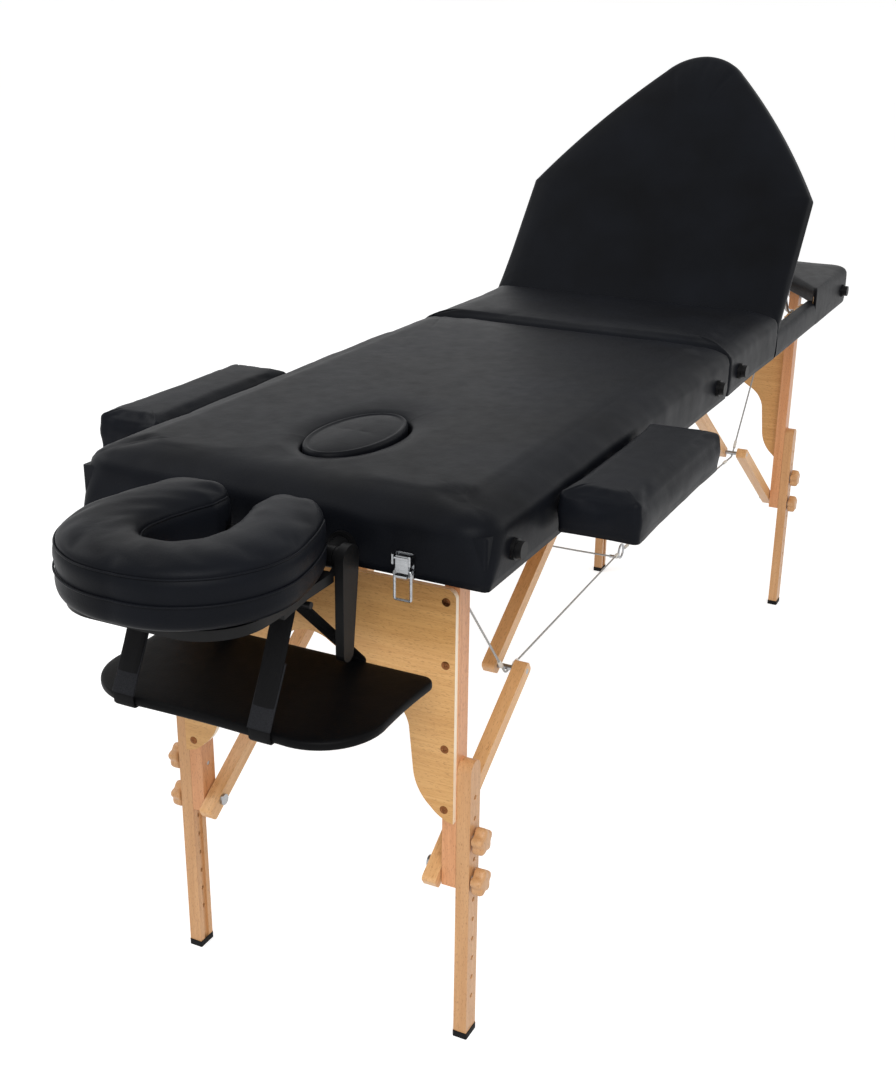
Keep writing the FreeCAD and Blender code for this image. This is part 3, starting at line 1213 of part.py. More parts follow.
# All pieces by name
def build():
    frame = foot_frame()
    nodes = {
        "head_frame": head_frame(),
        "head_cushion": [head_cushion()],
        "face_hole_plug": [face_plug()],
        "head_brackets": head_brackets(),
        "head_fittings": bumpers() + [carry_handle()] + post_collars(),
        "latch_plates": both_sides(latch_plate()),
        "latch_lever_left": [latch_lever()],
        "latch_lever_right": [mirror_y(latch_lever())],
        "latch_loop_left": [latch_loop()],
        "latch_loop_right": [mirror_y(latch_loop())],
        "fold_hinge_pins": fold_hinge_pins(),
        "cross_cable": [cross_cable()],
        "foot_frame": frame,
        "seat_cushion": [seat_cushion()],
        "foot_edge_pads": foot_edge_pads(frame),
        "foot_brackets": foot_brackets(),
        "foot_fittings": [mirror_x(piece) for piece in bumpers() + [carry_handle()]],
        "latch_catches": both_sides(latch_catch()),
        "backrest_board": [backrest_board()],
        "backrest_cushion": [backrest_cushion()],
        "backrest_prop": backrest_prop(),
        "cradle_posts": [cradle_posts()],
        "cradle_platform": [cradle_platform()],
        "cradle_cushion": [cradle_cushion()],
        "cradle_cam_lever": [cradle_cam_lever()],
        "arm_shelf": [arm_shelf()],
        "arm_shelf_straps": both_sides(shelf_strap()),
        "armrest_left_pad": [armrest_pad()],
        "armrest_right_pad": [mirror_y(armrest_pad())],
        "armrest_left_board": [armrest_board()],
        "armrest_right_board": [mirror_y(armrest_board())],
    }
    bolts = [piece for bolt in strut_bolts() for piece in both_sides(bolt)]
    leg_set = {
        "upper_legs": both_sides(upper_leg()),
        "end_panel": [end_panel()],
        "lower_struts": both_sides(lower_strut()),
        "upper_struts": both_sides(upper_strut()),
        "strut_bolts": bolts,
        "cables": both_sides(cable()),
        "left_lower_leg": [lower_leg()],
        "left_rubber_foot": [rubber_foot()],
        "left_upper_knob": [knob(KNOB_HOLES[0])],
        "left_lower_knob": [knob(KNOB_HOLES[1])],
    }
    for name in [name for name in leg_set if name.startswith("left_")]:
        leg_set[name.replace("left_", "right_")] = [mirror_y(piece) for piece in leg_set[name]]
    for name, pieces in leg_set.items():
        nodes["head_" + name] = pieces
        nodes["foot_" + name] = [mirror_x(piece) for piece in pieces]
    return nodes


NODES = build()
WHOLE = Part.makeCompound([piece for pieces in NODES.values() for piece in pieces]).BoundBox
ORIGIN_SHIFT = -(WHOLE.XMin + WHOLE.XMax) / 2

os.makedirs("parts", exist_ok=True)
for name, pieces in NODES.items():
    node = Part.makeCompound(pieces)
    node.translate(vec(ORIGIN_SHIFT, 0, 0))
    node.exportStep("parts/" + name + ".step")
print(len(NODES), "nodes, shift", round(ORIGIN_SHIFT, 3), "box", WHOLE)
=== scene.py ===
import math
from fnmatch import fnmatch

import bmesh
import bpy
import numpy as np
from mathutils import Matrix


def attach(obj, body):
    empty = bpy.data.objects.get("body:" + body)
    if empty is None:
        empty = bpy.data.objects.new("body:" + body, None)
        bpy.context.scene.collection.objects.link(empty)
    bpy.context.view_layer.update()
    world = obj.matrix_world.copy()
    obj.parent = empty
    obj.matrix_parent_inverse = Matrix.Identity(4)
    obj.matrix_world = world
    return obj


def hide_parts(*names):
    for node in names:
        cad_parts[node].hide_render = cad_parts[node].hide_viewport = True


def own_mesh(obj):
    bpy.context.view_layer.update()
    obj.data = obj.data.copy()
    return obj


# Folding massage table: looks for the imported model.
# Shapes are drawn in millimetres about the fold and moved to the row's frame in metres.
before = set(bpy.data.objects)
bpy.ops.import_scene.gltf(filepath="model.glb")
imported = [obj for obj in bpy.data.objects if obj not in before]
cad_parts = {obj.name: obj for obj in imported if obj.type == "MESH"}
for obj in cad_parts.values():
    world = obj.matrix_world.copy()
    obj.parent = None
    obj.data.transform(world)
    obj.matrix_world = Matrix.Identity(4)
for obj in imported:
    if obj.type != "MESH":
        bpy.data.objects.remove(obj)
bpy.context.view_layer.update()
scene = bpy.context.scene

MM = 0.001
PER_METRE = 1000
FOLD_X = 140.068
TURN = 2 * math.pi
QUARTER = math.pi / 2
HANDS = ((1, "left"), (-1, "right"))

# Sizes shared with the solids
HALF_LENGTH, HALF_WIDTH = 930.0, 285.0
BOTTOM_Z, DECK_Z, TOP_Z = 697.5, 757.0, 785.0
COVER = 6.0
FACE_HOLE, FACE_HALF = np.array((-723.0, 0.0)), np.array((100.0, 54.0))
SEAT_END = 311.0
BACK_X, BACK_Z, BACK_TILT = 340.0, 757.0, math.radians(49.0)
BACK_HALF, BACK_SHOULDER, BACK_TAPER, BACK_TAPER_HALF, BACK_PEAK = 283.0, 255.0, 535.0, 80.0, 575.0
LEG_X = 824.0
STRUT_SLOPE = math.radians(33.86)


# Surfaces
def metres(points):
    """Millimetres about the fold to metres in the row's frame."""
    return (np.asarray(points, float) + (FOLD_X, 0, 0)) * MM


def skin(name, *sheets, merge=0.02, sharp=None):
    """Mesh of one or more grids of points. A sheet is (grid, rows run round, columns run round). Each cell is
    a quad, coincident points are merged, which closes poles and seams, and faces are turned outwards.
    The UV map counts millimetres along the rows and columns of the sheet's middle lines."""
    bm = bmesh.new()
    for grid, round_rows, round_cols in sheets:
        rows, cols = grid.shape[:2]
        index = np.arange(rows * cols).reshape(rows, cols)
        full = np.concatenate([grid, grid[:1]]) if round_rows else grid
        full = np.concatenate([full, full[:, :1]], axis=1) if round_cols else full
        index = np.vstack([index, index[:1]]) if round_rows else index
        index = np.hstack([index, index[:, :1]]) if round_cols else index
        down = np.linalg.norm(np.diff(full[:, full.shape[1] // 2], axis=0), axis=1).cumsum()
        across = np.linalg.norm(np.diff(full[full.shape[0] // 2], axis=0), axis=1).cumsum()
        v, u = np.meshgrid(np.append(0, down), np.append(0, across), indexing="ij")
        uv = np.stack([u, v], -1) * MM
        corners = ((0, 0), (0, 1), (1, 1), (1, 0))
        cut = [(slice(r, r - 1 or None), slice(c, c - 1 or None)) for r, c in corners]
        quads = np.stack([index[s] for s in cut], -1).reshape(-1, 4)
        part = bpy.data.meshes.new(name)
        part.from_pydata(metres(grid.reshape(-1, 3)), [], quads.tolist())
        layer = part.uv_layers.new(name="UVMap")
        layer.data.foreach_set("uv", np.stack([uv[s] for s in cut], -2).reshape(-1).astype(np.float32))
        bm.from_mesh(part)
        bpy.data.meshes.remove(part)
    bmesh.ops.remove_doubles(bm, verts=bm.verts, dist=merge * MM)
    bmesh.ops.dissolve_degenerate(bm, edges=bm.edges, dist=merge * MM)
    bmesh.ops.recalc_face_normals(bm, faces=bm.faces)
    mesh = bpy.data.meshes.new(name)
    bm.to_mesh(mesh)
    bm.free()
    mesh.shade_smooth()
    if sharp is not None:
        mesh.set_sharp_from_angle(angle=math.radians(sharp))
    return mesh


def capped(grid, first, last):
    """A sheet that runs round its columns, closed on a point before its first row and after its last."""
    ends = [np.repeat(np.reshape(point, (1, 1, 3)), grid.shape[1], axis=1) for point in (first, last)]
    return np.concatenate([ends[0], grid, ends[1]]), False, True


def piece(name, mesh, body, finish, replaced=(), rounds=0):
    """A piece that rides a body, with its finish, the nodes it stands for and its subdivision."""
    obj = bpy.data.objects.new(name, mesh)
    scene.collection.objects.link(obj)
    mesh.materials.append(finish)
    if rounds:
        smooth = obj.modifiers.new("rounding", "SUBSURF")
        smooth.levels = smooth.render_levels = rounds
    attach(obj, body)
    if replaced:
        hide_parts(*replaced)
    return obj


def line(a, b, count):
    """Even points from a up to, and without, b."""
    a, b = np.array(a, float), np.array(b, float)
    return a + (b - a) * (np.arange(count) / count)[:, None]


def arc(a, middle, b, count):
    """Even points on the circle through a, middle and b, from a up to, and without, b."""
    a, m, b = (np.array(p, float) for p in (a, middle, b))
    centre = np.linalg.solve(2 * np.array([m - a, b - a]), np.array([m @ m - a @ a, b @ b - a @ a]))
    start, mid, end = (math.atan2(*(p - centre)[::-1]) for p in (a, m, b))
    sweep = (end - start) % TURN
    if (mid - start) % TURN > sweep:
        sweep -= TURN
    angle = start + sweep * np.arange(count) / count
    return centre + np.linalg.norm(a - centre) * np.stack([np.cos(angle), np.sin(angle)], -1)


def circle(count):
    """Even angles round a full turn."""
    return TURN * np.arange(count) / count


def evenly(points, count):
    """An open line's points again, evenly spaced along it, ends included."""
    points = np.array(points)
    run = np.append(0, np.linalg.norm(np.diff(points, axis=0), axis=1).cumsum())
    at = np.linspace(0, run[-1], count)
    return np.stack([np.interp(at, run, points[:, k]) for k in range(points.shape[1])], -1)


def level(outline, z):
    """A plan outline lifted to a height, or to a height for each point."""
    return np.column_stack([outline, np.broadcast_to(z, len(outline))])


def drawn(ring, towards, shares, heights):
    """Rows that draw a plan ring towards a point, or another ring, by these shares and at these heights."""
    pairs = zip(shares, np.broadcast_to(heights, len(shares)))
    return [level(ring + (towards - ring) * share, z) for share, z in pairs]


def rounded_rectangle(x0, x1, y0, y1, corners, bows, counts):
    """Anticlockwise outline: sides that are drawn in as half a sine wave, corners as quarter circles.
    Corners go x0 end, x1 end; bows x0 end, x1 end, sides; counts are points on a side, an end, a corner."""
    r0, r1 = corners
    bow0, bow1, bow = bows
    n_side, n_end, n_corner = counts

    def side(a, b, inward, depth, count):
        wave = depth * np.sin(math.pi * np.arange(count) / count)[:, None]
        return line(a, b, count) + wave * np.array(inward)

    def corner(cx, cy, r, start):
        angle = start + QUARTER * np.arange(n_corner) / n_corner
        return np.stack([cx + r * np.cos(angle), cy + r * np.sin(angle)], -1)

    return np.vstack([
        side((x0 + r0, y0), (x1 - r1, y0), (0, 1), bow, n_side), corner(x1 - r1, y0 + r1, r1, -QUARTER),
        side((x1, y0 + r1), (x1, y1 - r1), (-1, 0), bow1, n_end), corner(x1 - r1, y1 - r1, r1, 0),
        side((x1 - r1, y1), (x0 + r0, y1), (0, -1), bow, n_side), corner(x0 + r0, y1 - r0, r0, QUARTER),
        side((x0, y1 - r0), (x0, y0 + r0), (1, 0), bow0, n_end), corner(x0 + r0, y0 + r0, r0, 2 * QUARTER),
    ])


FLANK_FILLS = 1.6


def cushion_levels(bottom, top, edge, crown, reach, pull=2.0, broad=1.0):
    """Heights and insets of an upholstered block: drawn in at the foot, a flank that swells by half a sine,
    a quarter-round edge, broader than high by a factor, and a low crown that reaches in from the edge."""
    spring = top - crown - edge
    flank = [(bottom + (spring - bottom) * t, pull * (1 - math.sin(QUARTER * min(1, FLANK_FILLS * t))))
             for t in np.linspace(0, 1, 7)]
    wide = edge * broad
    edge_rows = [(spring + edge * math.sin(a), wide * (1 - math.cos(a)))
                 for a in np.linspace(0, QUARTER, 7)[1:]]
    crown_rows = [(top - crown * (1 - math.sin(QUARTER * t)), wide + (reach - wide) * t)
                  for t in np.linspace(0, 1, 5)[1:]]
    return flank + edge_rows + crown_rows


def inwards(ring):
    """Unit vectors that point in from each point of a closed anticlockwise ring."""
    ahead = np.roll(ring, -1, axis=0) - np.roll(ring, 1, axis=0)
    return np.stack([-ahead[:, 1], ahead[:, 0]], -1) / np.linalg.norm(ahead, axis=1, keepdims=True)


# Lengths in millimetres and sizes of the waves that uneven filling makes
FILLING_WAVES = ((150.0, 0.7), (83.0, 0.5), (41.0, 0.25))


def stuffing(ring, depth, start):
    """Uneven filling: inward depths along a closed ring, as three sine waves of whole counts round it."""
    steps = np.linalg.norm(np.diff(ring, axis=0, append=ring[:1]), axis=1)
    share = np.append(0, steps.cumsum())[:-1] / steps.sum()
    return depth * sum(size * np.sin(TURN * round(steps.sum() / length) * share + start * k)
                       for k, (length, size) in enumerate(FILLING_WAVES, 1))


CLOTH_FRAMES = 20


def swell(obj, hold, cap, pressure=4.0):
    """Cloth with air pressure inside and no weight, for twenty frames. Hold gives each point a share from 0,
    free, to 1, sewn, which stays put, and no point moves further than cap, in millimetres."""
    mesh = obj.data
    rest = np.empty(len(mesh.vertices) * 3)
    mesh.vertices.foreach_get("co", rest)
    rest = rest.reshape(-1, 3)
    held = np.clip(hold(rest / MM - (FOLD_X, 0, 0)).astype(float), 0, 1)
    group = obj.vertex_groups.new(name="sewn")
    group.add(np.nonzero(held == 1)[0].tolist(), 1.0, "REPLACE")
    cloth = obj.modifiers.new("cover", "CLOTH")
    cloth.settings.quality = 5
    cloth.settings.mass = 0.4
    cloth.settings.bending_stiffness = 0.8
    cloth.settings.vertex_group_mass = "sewn"
    cloth.settings.use_pressure = True
    cloth.settings.uniform_pressure_force = pressure
    cloth.settings.effector_weights.gravity = 0
    cloth.point_cache.frame_end = CLOTH_FRAMES
    for step in range(CLOTH_FRAMES):
        scene.frame_set(step + 1)
    moved = np.empty(rest.size)
    obj.evaluated_get(bpy.context.evaluated_depsgraph_get()).data.vertices.foreach_get("co", moved)
    obj.modifiers.remove(cloth)
    obj.vertex_groups.remove(group)
    shift = (moved.reshape(-1, 3) - rest) * (1 - held)[:, None]
    far = np.linalg.norm(shift, axis=1, keepdims=True)
    shift *= np.minimum(1, cap * MM / np.maximum(far, 1e-9))
    mesh.vertices.foreach_set("co", (rest + shift).reshape(-1))
    mesh.update()
    scene.frame_set(1)


# Finishes. A plain number as a pattern's scale is its count to the metre.
def shade(code):
    """An sRGB hex value as linear colour."""
    part = np.array([int(code[i:i + 2], 16) for i in (1, 3, 5)]) / 255
    linear = np.where(part <= 0.04045, part / 12.92, ((part + 0.055) / 1.055) ** 2.4)
    return (*linear.tolist(), 1.0)


def add(tree, kind, inputs=None, **settings):
    """Adds a node with its settings; an input takes a value or another node's output."""
    node = tree.nodes.new(kind)
    for key, value in settings.items():
        setattr(node, key, value)
    for key, value in (inputs or {}).items():
        if isinstance(value, bpy.types.NodeSocket):
            tree.links.new(value, node.inputs[key])
        else:
            node.inputs[key].default_value = value
    return node


def start_finish(name, **sockets):
    """A new material with fixed values on its shader: material, tree, shader, texture coordinates."""
    material = bpy.data.materials.new(name)
    material.use_nodes = True
    tree = material.node_tree
    shader = tree.nodes["Principled BSDF"]
    for key, value in sockets.items():
        shader.inputs[key.replace("_", " ")].default_value = value
    return material, tree, shader, add(tree, "ShaderNodeTexCoord").outputs


def make_leather(name, dark, light, grain_mm, rough):
    """PU-coated knit, embossed with a fine hide grain: near-black, with a soft bluish sheen on its curves,
    faint creases about 22 mm apart and clouds of tone 140 mm across. The real grain is about 0.7 mm across;
    it is drawn coarser so that it shows."""
    material, tree, shader, place = start_finish(name, Specular_IOR_Level=0.055)
    cells = add(tree, "ShaderNodeTexVoronoi", {"Vector": place["Object"], "Scale": PER_METRE / grain_mm})
    creases = add(tree, "ShaderNodeTexNoise", {"Vector": place["Object"], "Scale": 45.0, "Detail": 4.0})
    clouds = add(tree, "ShaderNodeTexNoise", {"Vector": place["Object"], "Scale": 7.0, "Detail": 3.0})
    tone = add(tree, "ShaderNodeMapRange", {"Value": clouds.outputs["Fac"], "From Min": 0.3, "From Max": 0.7})
    colour = add(tree, "ShaderNodeMix", {0: tone.outputs[0], 6: shade(dark), 7: shade(light)},
                 data_type="RGBA")
    tree.links.new(colour.outputs[2], shader.inputs["Base Color"])
    gloss = add(tree, "ShaderNodeMapRange", {"Value": creases.outputs["Fac"], "To Min": rough - 0.05,
                                             "To Max": rough + 0.07})
    tree.links.new(gloss.outputs[0], shader.inputs["Roughness"])
    soft = add(tree, "ShaderNodeBump", {"Height": creases.outputs["Fac"], "Strength": 0.25,
                                        "Distance": 0.0012})
    fine = add(tree, "ShaderNodeBump", {"Height": cells.outputs["Distance"], "Normal": soft.outputs[0],
                                        "Strength": 0.3, "Distance": 0.0003})
    tree.links.new(fine.outputs[0], shader.inputs["Normal"])
    return material


UPRIGHT, ACROSS, ENDWAYS = (0.0, 0.0, 0.0), (QUARTER, 0.0, 0.0), (0.0, QUARTER, 0.0)


def make_wood(name, pale, dark, fleck, turn=UPRIGHT, streak_mm=7.0, edge=None):
    """Planed and lacquered timber, with a low even shine: streaks along the piece's length (its own Z before
    the turn), bands 45 mm wide, and the short dark ray flecks of beech, 1 by 6 mm. Each layer is laid over
    the last where its value passes from a low to a high mark. An edge colour is a pale band on the faces that
    look sideways."""
    material, tree, shader, place = start_finish(name, Coat_Weight=0.18, Coat_Roughness=0.3,
                                                 Specular_IOR_Level=0.4)
    along = add(tree, "ShaderNodeMapping", {"Vector": place["Object"], "Rotation": turn}).outputs[0]
    width = PER_METRE / streak_mm
    thin = add(tree, "ShaderNodeMapping", {"Vector": along, "Scale": (width, width, 7.0)})
    streaks = add(tree, "ShaderNodeTexNoise", {"Vector": thin.outputs[0], "Scale": 1.0, "Detail": 5.0,
                                               "Roughness": 0.62, "Distortion": 0.6}).outputs["Fac"]
    wide = add(tree, "ShaderNodeMapping", {"Vector": along, "Scale": (22.0, 22.0, 2.2)})
    bands = add(tree, "ShaderNodeTexNoise", {"Vector": wide.outputs[0], "Scale": 1.0, "Detail": 2.0,
                                             "Distortion": 1.0}).outputs["Fac"]
    short = add(tree, "ShaderNodeMapping", {"Vector": along, "Scale": (900.0, 900.0, 170.0)})
    rays = add(tree, "ShaderNodeTexNoise", {"Vector": short.outputs[0], "Scale": 1.0,
                                            "Detail": 1.0}).outputs["Fac"]
    layers = [(streaks, 0.32, 0.7, 1.0, dark), (bands, 0.35, 0.75, 0.45, dark),
              (rays, 0.6, 0.68, 0.55, fleck)]
    if edge:
        facing = add(tree, "ShaderNodeSeparateXYZ", {0: place["Normal"]})
        side = add(tree, "ShaderNodeMath", {0: facing.outputs[0]}, operation="ABSOLUTE").outputs[0]
        layers.append((side, 0.6, 0.4, 1.0, edge))
    colour = shade(pale)
    for value, low, high, most, stain in layers:
        share = add(tree, "ShaderNodeMapRange", {"Value": value, "From Min": low, "From Max": high,
                                                 "To Max": most})
        colour = add(tree, "ShaderNodeMix", {0: share.outputs[0], 6: colour, 7: shade(stain)},
                     data_type="RGBA").outputs[2]
    tree.links.new(colour, shader.inputs["Base Color"])
    gloss = add(tree, "ShaderNodeMapRange", {"Value": streaks, "To Min": 0.36, "To Max": 0.52})
    tree.links.new(gloss.outputs[0], shader.inputs["Roughness"])
    bump = add(tree, "ShaderNodeBump", {"Height": streaks, "Strength": 0.12, "Distance": 0.0004})
    tree.links.new(bump.outputs[0], shader.inputs["Normal"])
    return material


def make_metal(name, dark, light, rough, lines_mm):
    """Metal that was ground and then plated: fine lines across it, and a slightly uneven gloss."""
    material, tree, shader, place = start_finish(name, Metallic=1.0)
    width = PER_METRE / lines_mm
    stretched = add(tree, "ShaderNodeMapping", {"Vector": place["Object"], "Scale": (width, 40.0, width)})
    lines = add(tree, "ShaderNodeTexNoise", {"Vector": stretched.outputs[0], "Scale": 1.0, "Detail": 3.0})
    colour = add(tree, "ShaderNodeMix", {0: lines.outputs["Fac"], 6: shade(dark), 7: shade(light)},
                 data_type="RGBA")
    tree.links.new(colour.outputs[2], shader.inputs["Base Color"])
    gloss = add(tree, "ShaderNodeMapRange", {"Value": lines.outputs["Fac"], "To Min": rough * 0.7,
                                             "To Max": rough * 1.3})
    tree.links.new(gloss.outputs[0], shader.inputs["Roughness"])
    return material


def make_moulded(name, dark, light, rough, pebble_mm, height):
    """Moulded plastic or rubber with the fine pebble of its mould, and scuffs 33 mm across that dull it."""
    material, tree, shader, place = start_finish(name, Specular_IOR_Level=0.16)
    pebble = add(tree, "ShaderNodeTexNoise", {"Vector": place["Object"], "Scale": PER_METRE / pebble_mm,
                                              "Detail": 2.0})
    scuffs = add(tree, "ShaderNodeTexNoise", {"Vector": place["Object"], "Scale": 30.0, "Detail": 5.0})
    tone = add(tree, "ShaderNodeMapRange", {"Value": scuffs.outputs["Fac"], "From Min": 0.35,
                                            "From Max": 0.7})
    colour = add(tree, "ShaderNodeMix", {0: tone.outputs[0], 6: shade(dark), 7: shade(light)},
                 data_type="RGBA")
    tree.links.new(colour.outputs[2], shader.inputs["Base Color"])
    gloss = add(tree, "ShaderNodeMapRange", {"Value": scuffs.outputs["Fac"], "To Min": rough - 0.06,
                                             "To Max": rough + 0.1})
    tree.links.new(gloss.outputs[0], shader.inputs["Roughness"])
    bump = add(tree, "ShaderNodeBump", {"Height": pebble.outputs["Fac"], "Strength": 0.3,
                                        "Distance": height * MM})
    tree.links.new(bump.outputs[0], shader.inputs["Normal"])
    return material


def make_woven(name, dark, light, thread_mm, fuzz):
    """Woven polyamide tape: ribs across the tape from the UV map, raised threads with painted shade in the
    hollows between them, and a little fuzz.
    """
    material, tree, shader, place = start_finish(name, Specular_IOR_Level=0.12, Roughness=0.78)
    width = PER_METRE / thread_mm
    spun = add(tree, "ShaderNodeMapping", {"Vector": place["UV"], "Scale": (width, width, 1.0)}).outputs[0]
    rib = add(tree, "ShaderNodeTexWave", {"Vector": spun, "Scale": 0.5}, bands_direction="X")
    weft = add(tree, "ShaderNodeTexWave", {"Vector": spun, "Scale": 0.5}, bands_direction="Y")
    both = add(tree, "ShaderNodeMath", {0: rib.outputs["Fac"], 1: weft.outputs["Fac"]}, operation="MULTIPLY")
    hairs = add(tree, "ShaderNodeTexNoise", {"Vector": place["Object"], "Scale": 700.0, "Detail": 3.0})
    mixed = add(tree, "ShaderNodeMix", {0: fuzz, 2: both.outputs[0], 3: hairs.outputs["Fac"]}).outputs[0]
    # Painted shade: the weave's hollows take the dark colour and its raised threads the light one; the fuzz
    # mixed in is random tone
    colour = add(tree, "ShaderNodeMix", {0: mixed, 6: shade(dark), 7: shade(light)}, data_type="RGBA")
    tree.links.new(colour.outputs[2], shader.inputs["Base Color"])
    bump = add(tree, "ShaderNodeBump", {"Height": mixed, "Strength": 0.6, "Distance": 0.0005})
    tree.links.new(bump.outputs[0], shader.inputs["Normal"])
    return material


def make_rope(name, dark, light, lay_mm):
    """Steel wire rope in a clear coat: slanting strands from the UV map, grey-white, with painted shade in
    the gaps between strands.
    """
    material, tree, shader, place = start_finish(name, Metallic=0.35, Roughness=0.34)
    width = PER_METRE / lay_mm
    slant = add(tree, "ShaderNodeMapping", {"Vector": place["UV"], "Rotation": (0, 0, 0.6),
                                            "Scale": (width, width, 1.0)})
    strands = add(tree, "ShaderNodeTexWave", {"Vector": slant.outputs[0], "Scale": 0.5}).outputs["Fac"]
    # Painted shade: the strands' low parts, the gaps between them, take the dark colour
    colour = add(tree, "ShaderNodeMix", {0: strands, 6: shade(dark), 7: shade(light)}, data_type="RGBA")
    tree.links.new(colour.outputs[2], shader.inputs["Base Color"])
    bump = add(tree, "ShaderNodeBump", {"Height": strands, "Strength": 0.5, "Distance": 0.0003})
    tree.links.new(bump.outputs[0], shader.inputs["Normal"])
    return material


leather = make_leather("black_pu_leather", "#0a0b0e", "#111318", 1.7, 0.42)
shelf_leather = make_leather("shelf_pu_leather", "#060607", "#0b0b0c", 1.7, 0.46)
beech = make_wood("lacquered_beech", "#d2a373", "#bf8c5b", "#98683c", UPRIGHT)
red_beech = make_wood("stained_beech", "#dda273", "#c98a5a", "#9c6238", UPRIGHT)
head_strut_beech, foot_strut_beech = (
    make_wood(half + "_strut_beech", "#e6b883", "#d5a068", "#a8733f", (0.0, slope, 0.0))
    for half, slope in (("head", STRUT_SLOPE - QUARTER), ("foot", QUARTER - STRUT_SLOPE)))
veneer = make_wood("beech_veneer_board", "#dcac6e", "#c69253", "#a4733d", ACROSS, 5.0, "#f6e7cf")
plywood = make_wood("sanded_plywood", "#d2ac79", "#b98f5d", "#9a7043", ENDWAYS, 9.0)
zinc = make_metal("zinc_plated_steel", "#8d8f92", "#b9bbbd", 0.34, 1.5)
chrome = make_metal("polished_chrome", "#77797c", "#b4b6b8", 0.16, 3.0)
bronzed = make_metal("bronzed_screw", "#5e3820", "#8a5a38", 0.3, 1.2)
rubber = make_moulded("moulded_rubber", "#0b0b0c", "#151516", 0.72, 1.2, 0.25)
black_plastic = make_moulded("black_moulded_plastic", "#060607", "#0c0c0d", 0.44, 0.9, 0.12)
white_nylon = make_moulded("white_nylon", "#dcdad2", "#efeee8", 0.42, 1.0, 0.08)
webbing = make_woven("black_webbing", "#050506", "#131315", 1.9, 0.25)
hook_tape = make_woven("hook_and_loop_tape", "#050506", "#2e2f33", 1.9, 0.85)
wire_rope = make_rope("coated_wire_rope", "#6e7072", "#c4c5c3", 1.6)

# The solids that show get the first finish whose pattern their name fits
FINISHES = (
    ("*_frame", plywood), ("*_board", plywood), ("*end_panel", veneer), ("*upper_legs", red_beech),
    ("head_*_struts", head_strut_beech), ("foot_*_struts", foot_strut_beech), ("*lower_leg", beech),
    ("*knob", beech), ("*rubber_foot", rubber), ("latch*", chrome), ("*fittings", black_plastic),
    ("cradle*", black_plastic), ("*", zinc),
)
for name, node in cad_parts.items():
    node.data.materials.clear()
    node.data.materials.append(next(finish for pattern, finish in FINISHES if fnmatch(name, pattern)))


# Camera at the photograph's place
def stand(right, up, back, at):
    """The matrix of a camera or lamp at a place, from its right, up and back axes."""
    return Matrix([[right[k], up[k], back[k], at[k]] for k in range(3)] + [[0, 0, 0, 1]])


CAMERA_AT = (-2.2226 + FOLD_X * MM, -0.8734, 1.307)
YAW, PITCH, ROLL = (math.radians(d) for d in (26.289, -21.278, 0.717))
FOCAL_PIXELS, PHOTO_HEIGHT, SENSOR = 1411.7, 1092, 36.0
ahead = np.array([math.cos(PITCH) * math.cos(YAW), math.cos(PITCH) * math.sin(YAW), math.sin(PITCH)])
level_right = np.array([math.sin(YAW), -math.cos(YAW), 0.0])
level_up = np.cross(level_right, ahead)
camera_data = bpy.data.cameras.new("camera")
camera_data.sensor_fit = "VERTICAL"
camera_data.sensor_height = SENSOR
camera_data.lens = FOCAL_PIXELS / PHOTO_HEIGHT * SENSOR
camera_data.clip_end = 2000
camera = bpy.data.objects.new("camera", camera_data)
camera.matrix_world = stand(math.cos(ROLL) * level_right + math.sin(ROLL) * level_up,
                            math.cos(ROLL) * level_up - math.sin(ROLL) * level_right, -ahead, CAMERA_AT)
scene.collection.objects.link(camera)
scene.camera = camera


# Cables: four braces and the short one across, each on its own smooth line
def smooth_line(points):
    """The line of an order-3 NURBS spline with these control points, in millimetres about the fold."""
    curve = bpy.data.curves.new("route", "CURVE")
    curve.dimensions = "3D"
    curve.resolution_u = 16
    spline = curve.splines.new("NURBS")
    spline.points.add(len(points) - 1)
    spline.points.foreach_set("co", np.column_stack([points, np.ones(len(points))]).reshape(-1))
    spline.order_u = 3
    spline.use_endpoint_u = True
    route = bpy.data.objects.new("route", curve)
    mesh = bpy.data.meshes.new_from_object(route)
    found = np.empty(len(mesh.vertices) * 3)
    mesh.vertices.foreach_get("co", found)
    bpy.data.objects.remove(route)
    bpy.data.curves.remove(curve)
    bpy.data.meshes.remove(mesh)
    return found.reshape(-1, 3)


def closed_tube(path, radius, count=10, guide=(0, 1, 0)):
    """A ring of points carried along a path, across its tangent, and drawn in to a point at both ends, as a
    sheet. The radius may change along the path. The guide is a direction that the path never takes."""
    ahead = np.gradient(path, axis=0)
    ahead /= np.linalg.norm(ahead, axis=1, keepdims=True)
    side = np.cross(ahead, np.array(guide, float))
    side /= np.linalg.norm(side, axis=1, keepdims=True)
    top = np.cross(side, ahead)
    angle = circle(count)
    reach = np.broadcast_to(radius, len(path))[:, None, None]
    ring = np.cos(angle)[None, :, None] * side[:, None] + np.sin(angle)[None, :, None] * top[:, None]
    return capped(path[:, None] + reach * ring, path[0], path[-1])


CABLE_R, CABLE_Y, NEAR_CORNER = 1.6, 152.0, 16.0
TAB_X, TAB_Z = 812.0, 700.4
UNDER_BOLT_X, UNDER_BOLT_Z = 574.3, 415.4
RING_END_X, RING_Y, RING_Z, RING_R, RING_WIRE_R = 14.3, 117.0, 395.0, 12.0, 2.0
SLEEVE, RING_TO_SLEEVE = 16.0, 5
PINCH = 3.2 * np.array([0.8, 1.0, 0.86, 1.0, 0.86, 1.0, 0.8])


def sleeve(first, last, guide=(0, 1, 0)):
    """A crimped sleeve: a short tube that is pinched twice and at its ends."""
    return closed_tube(np.linspace(first, last, len(PINCH)), PINCH, 12, guide)


def stretch(a, b, distance):
    """The point at a distance from a towards b."""
    a, b = np.array(a, float), np.array(b, float)
    return a + (b - a) / np.linalg.norm(b - a) * distance


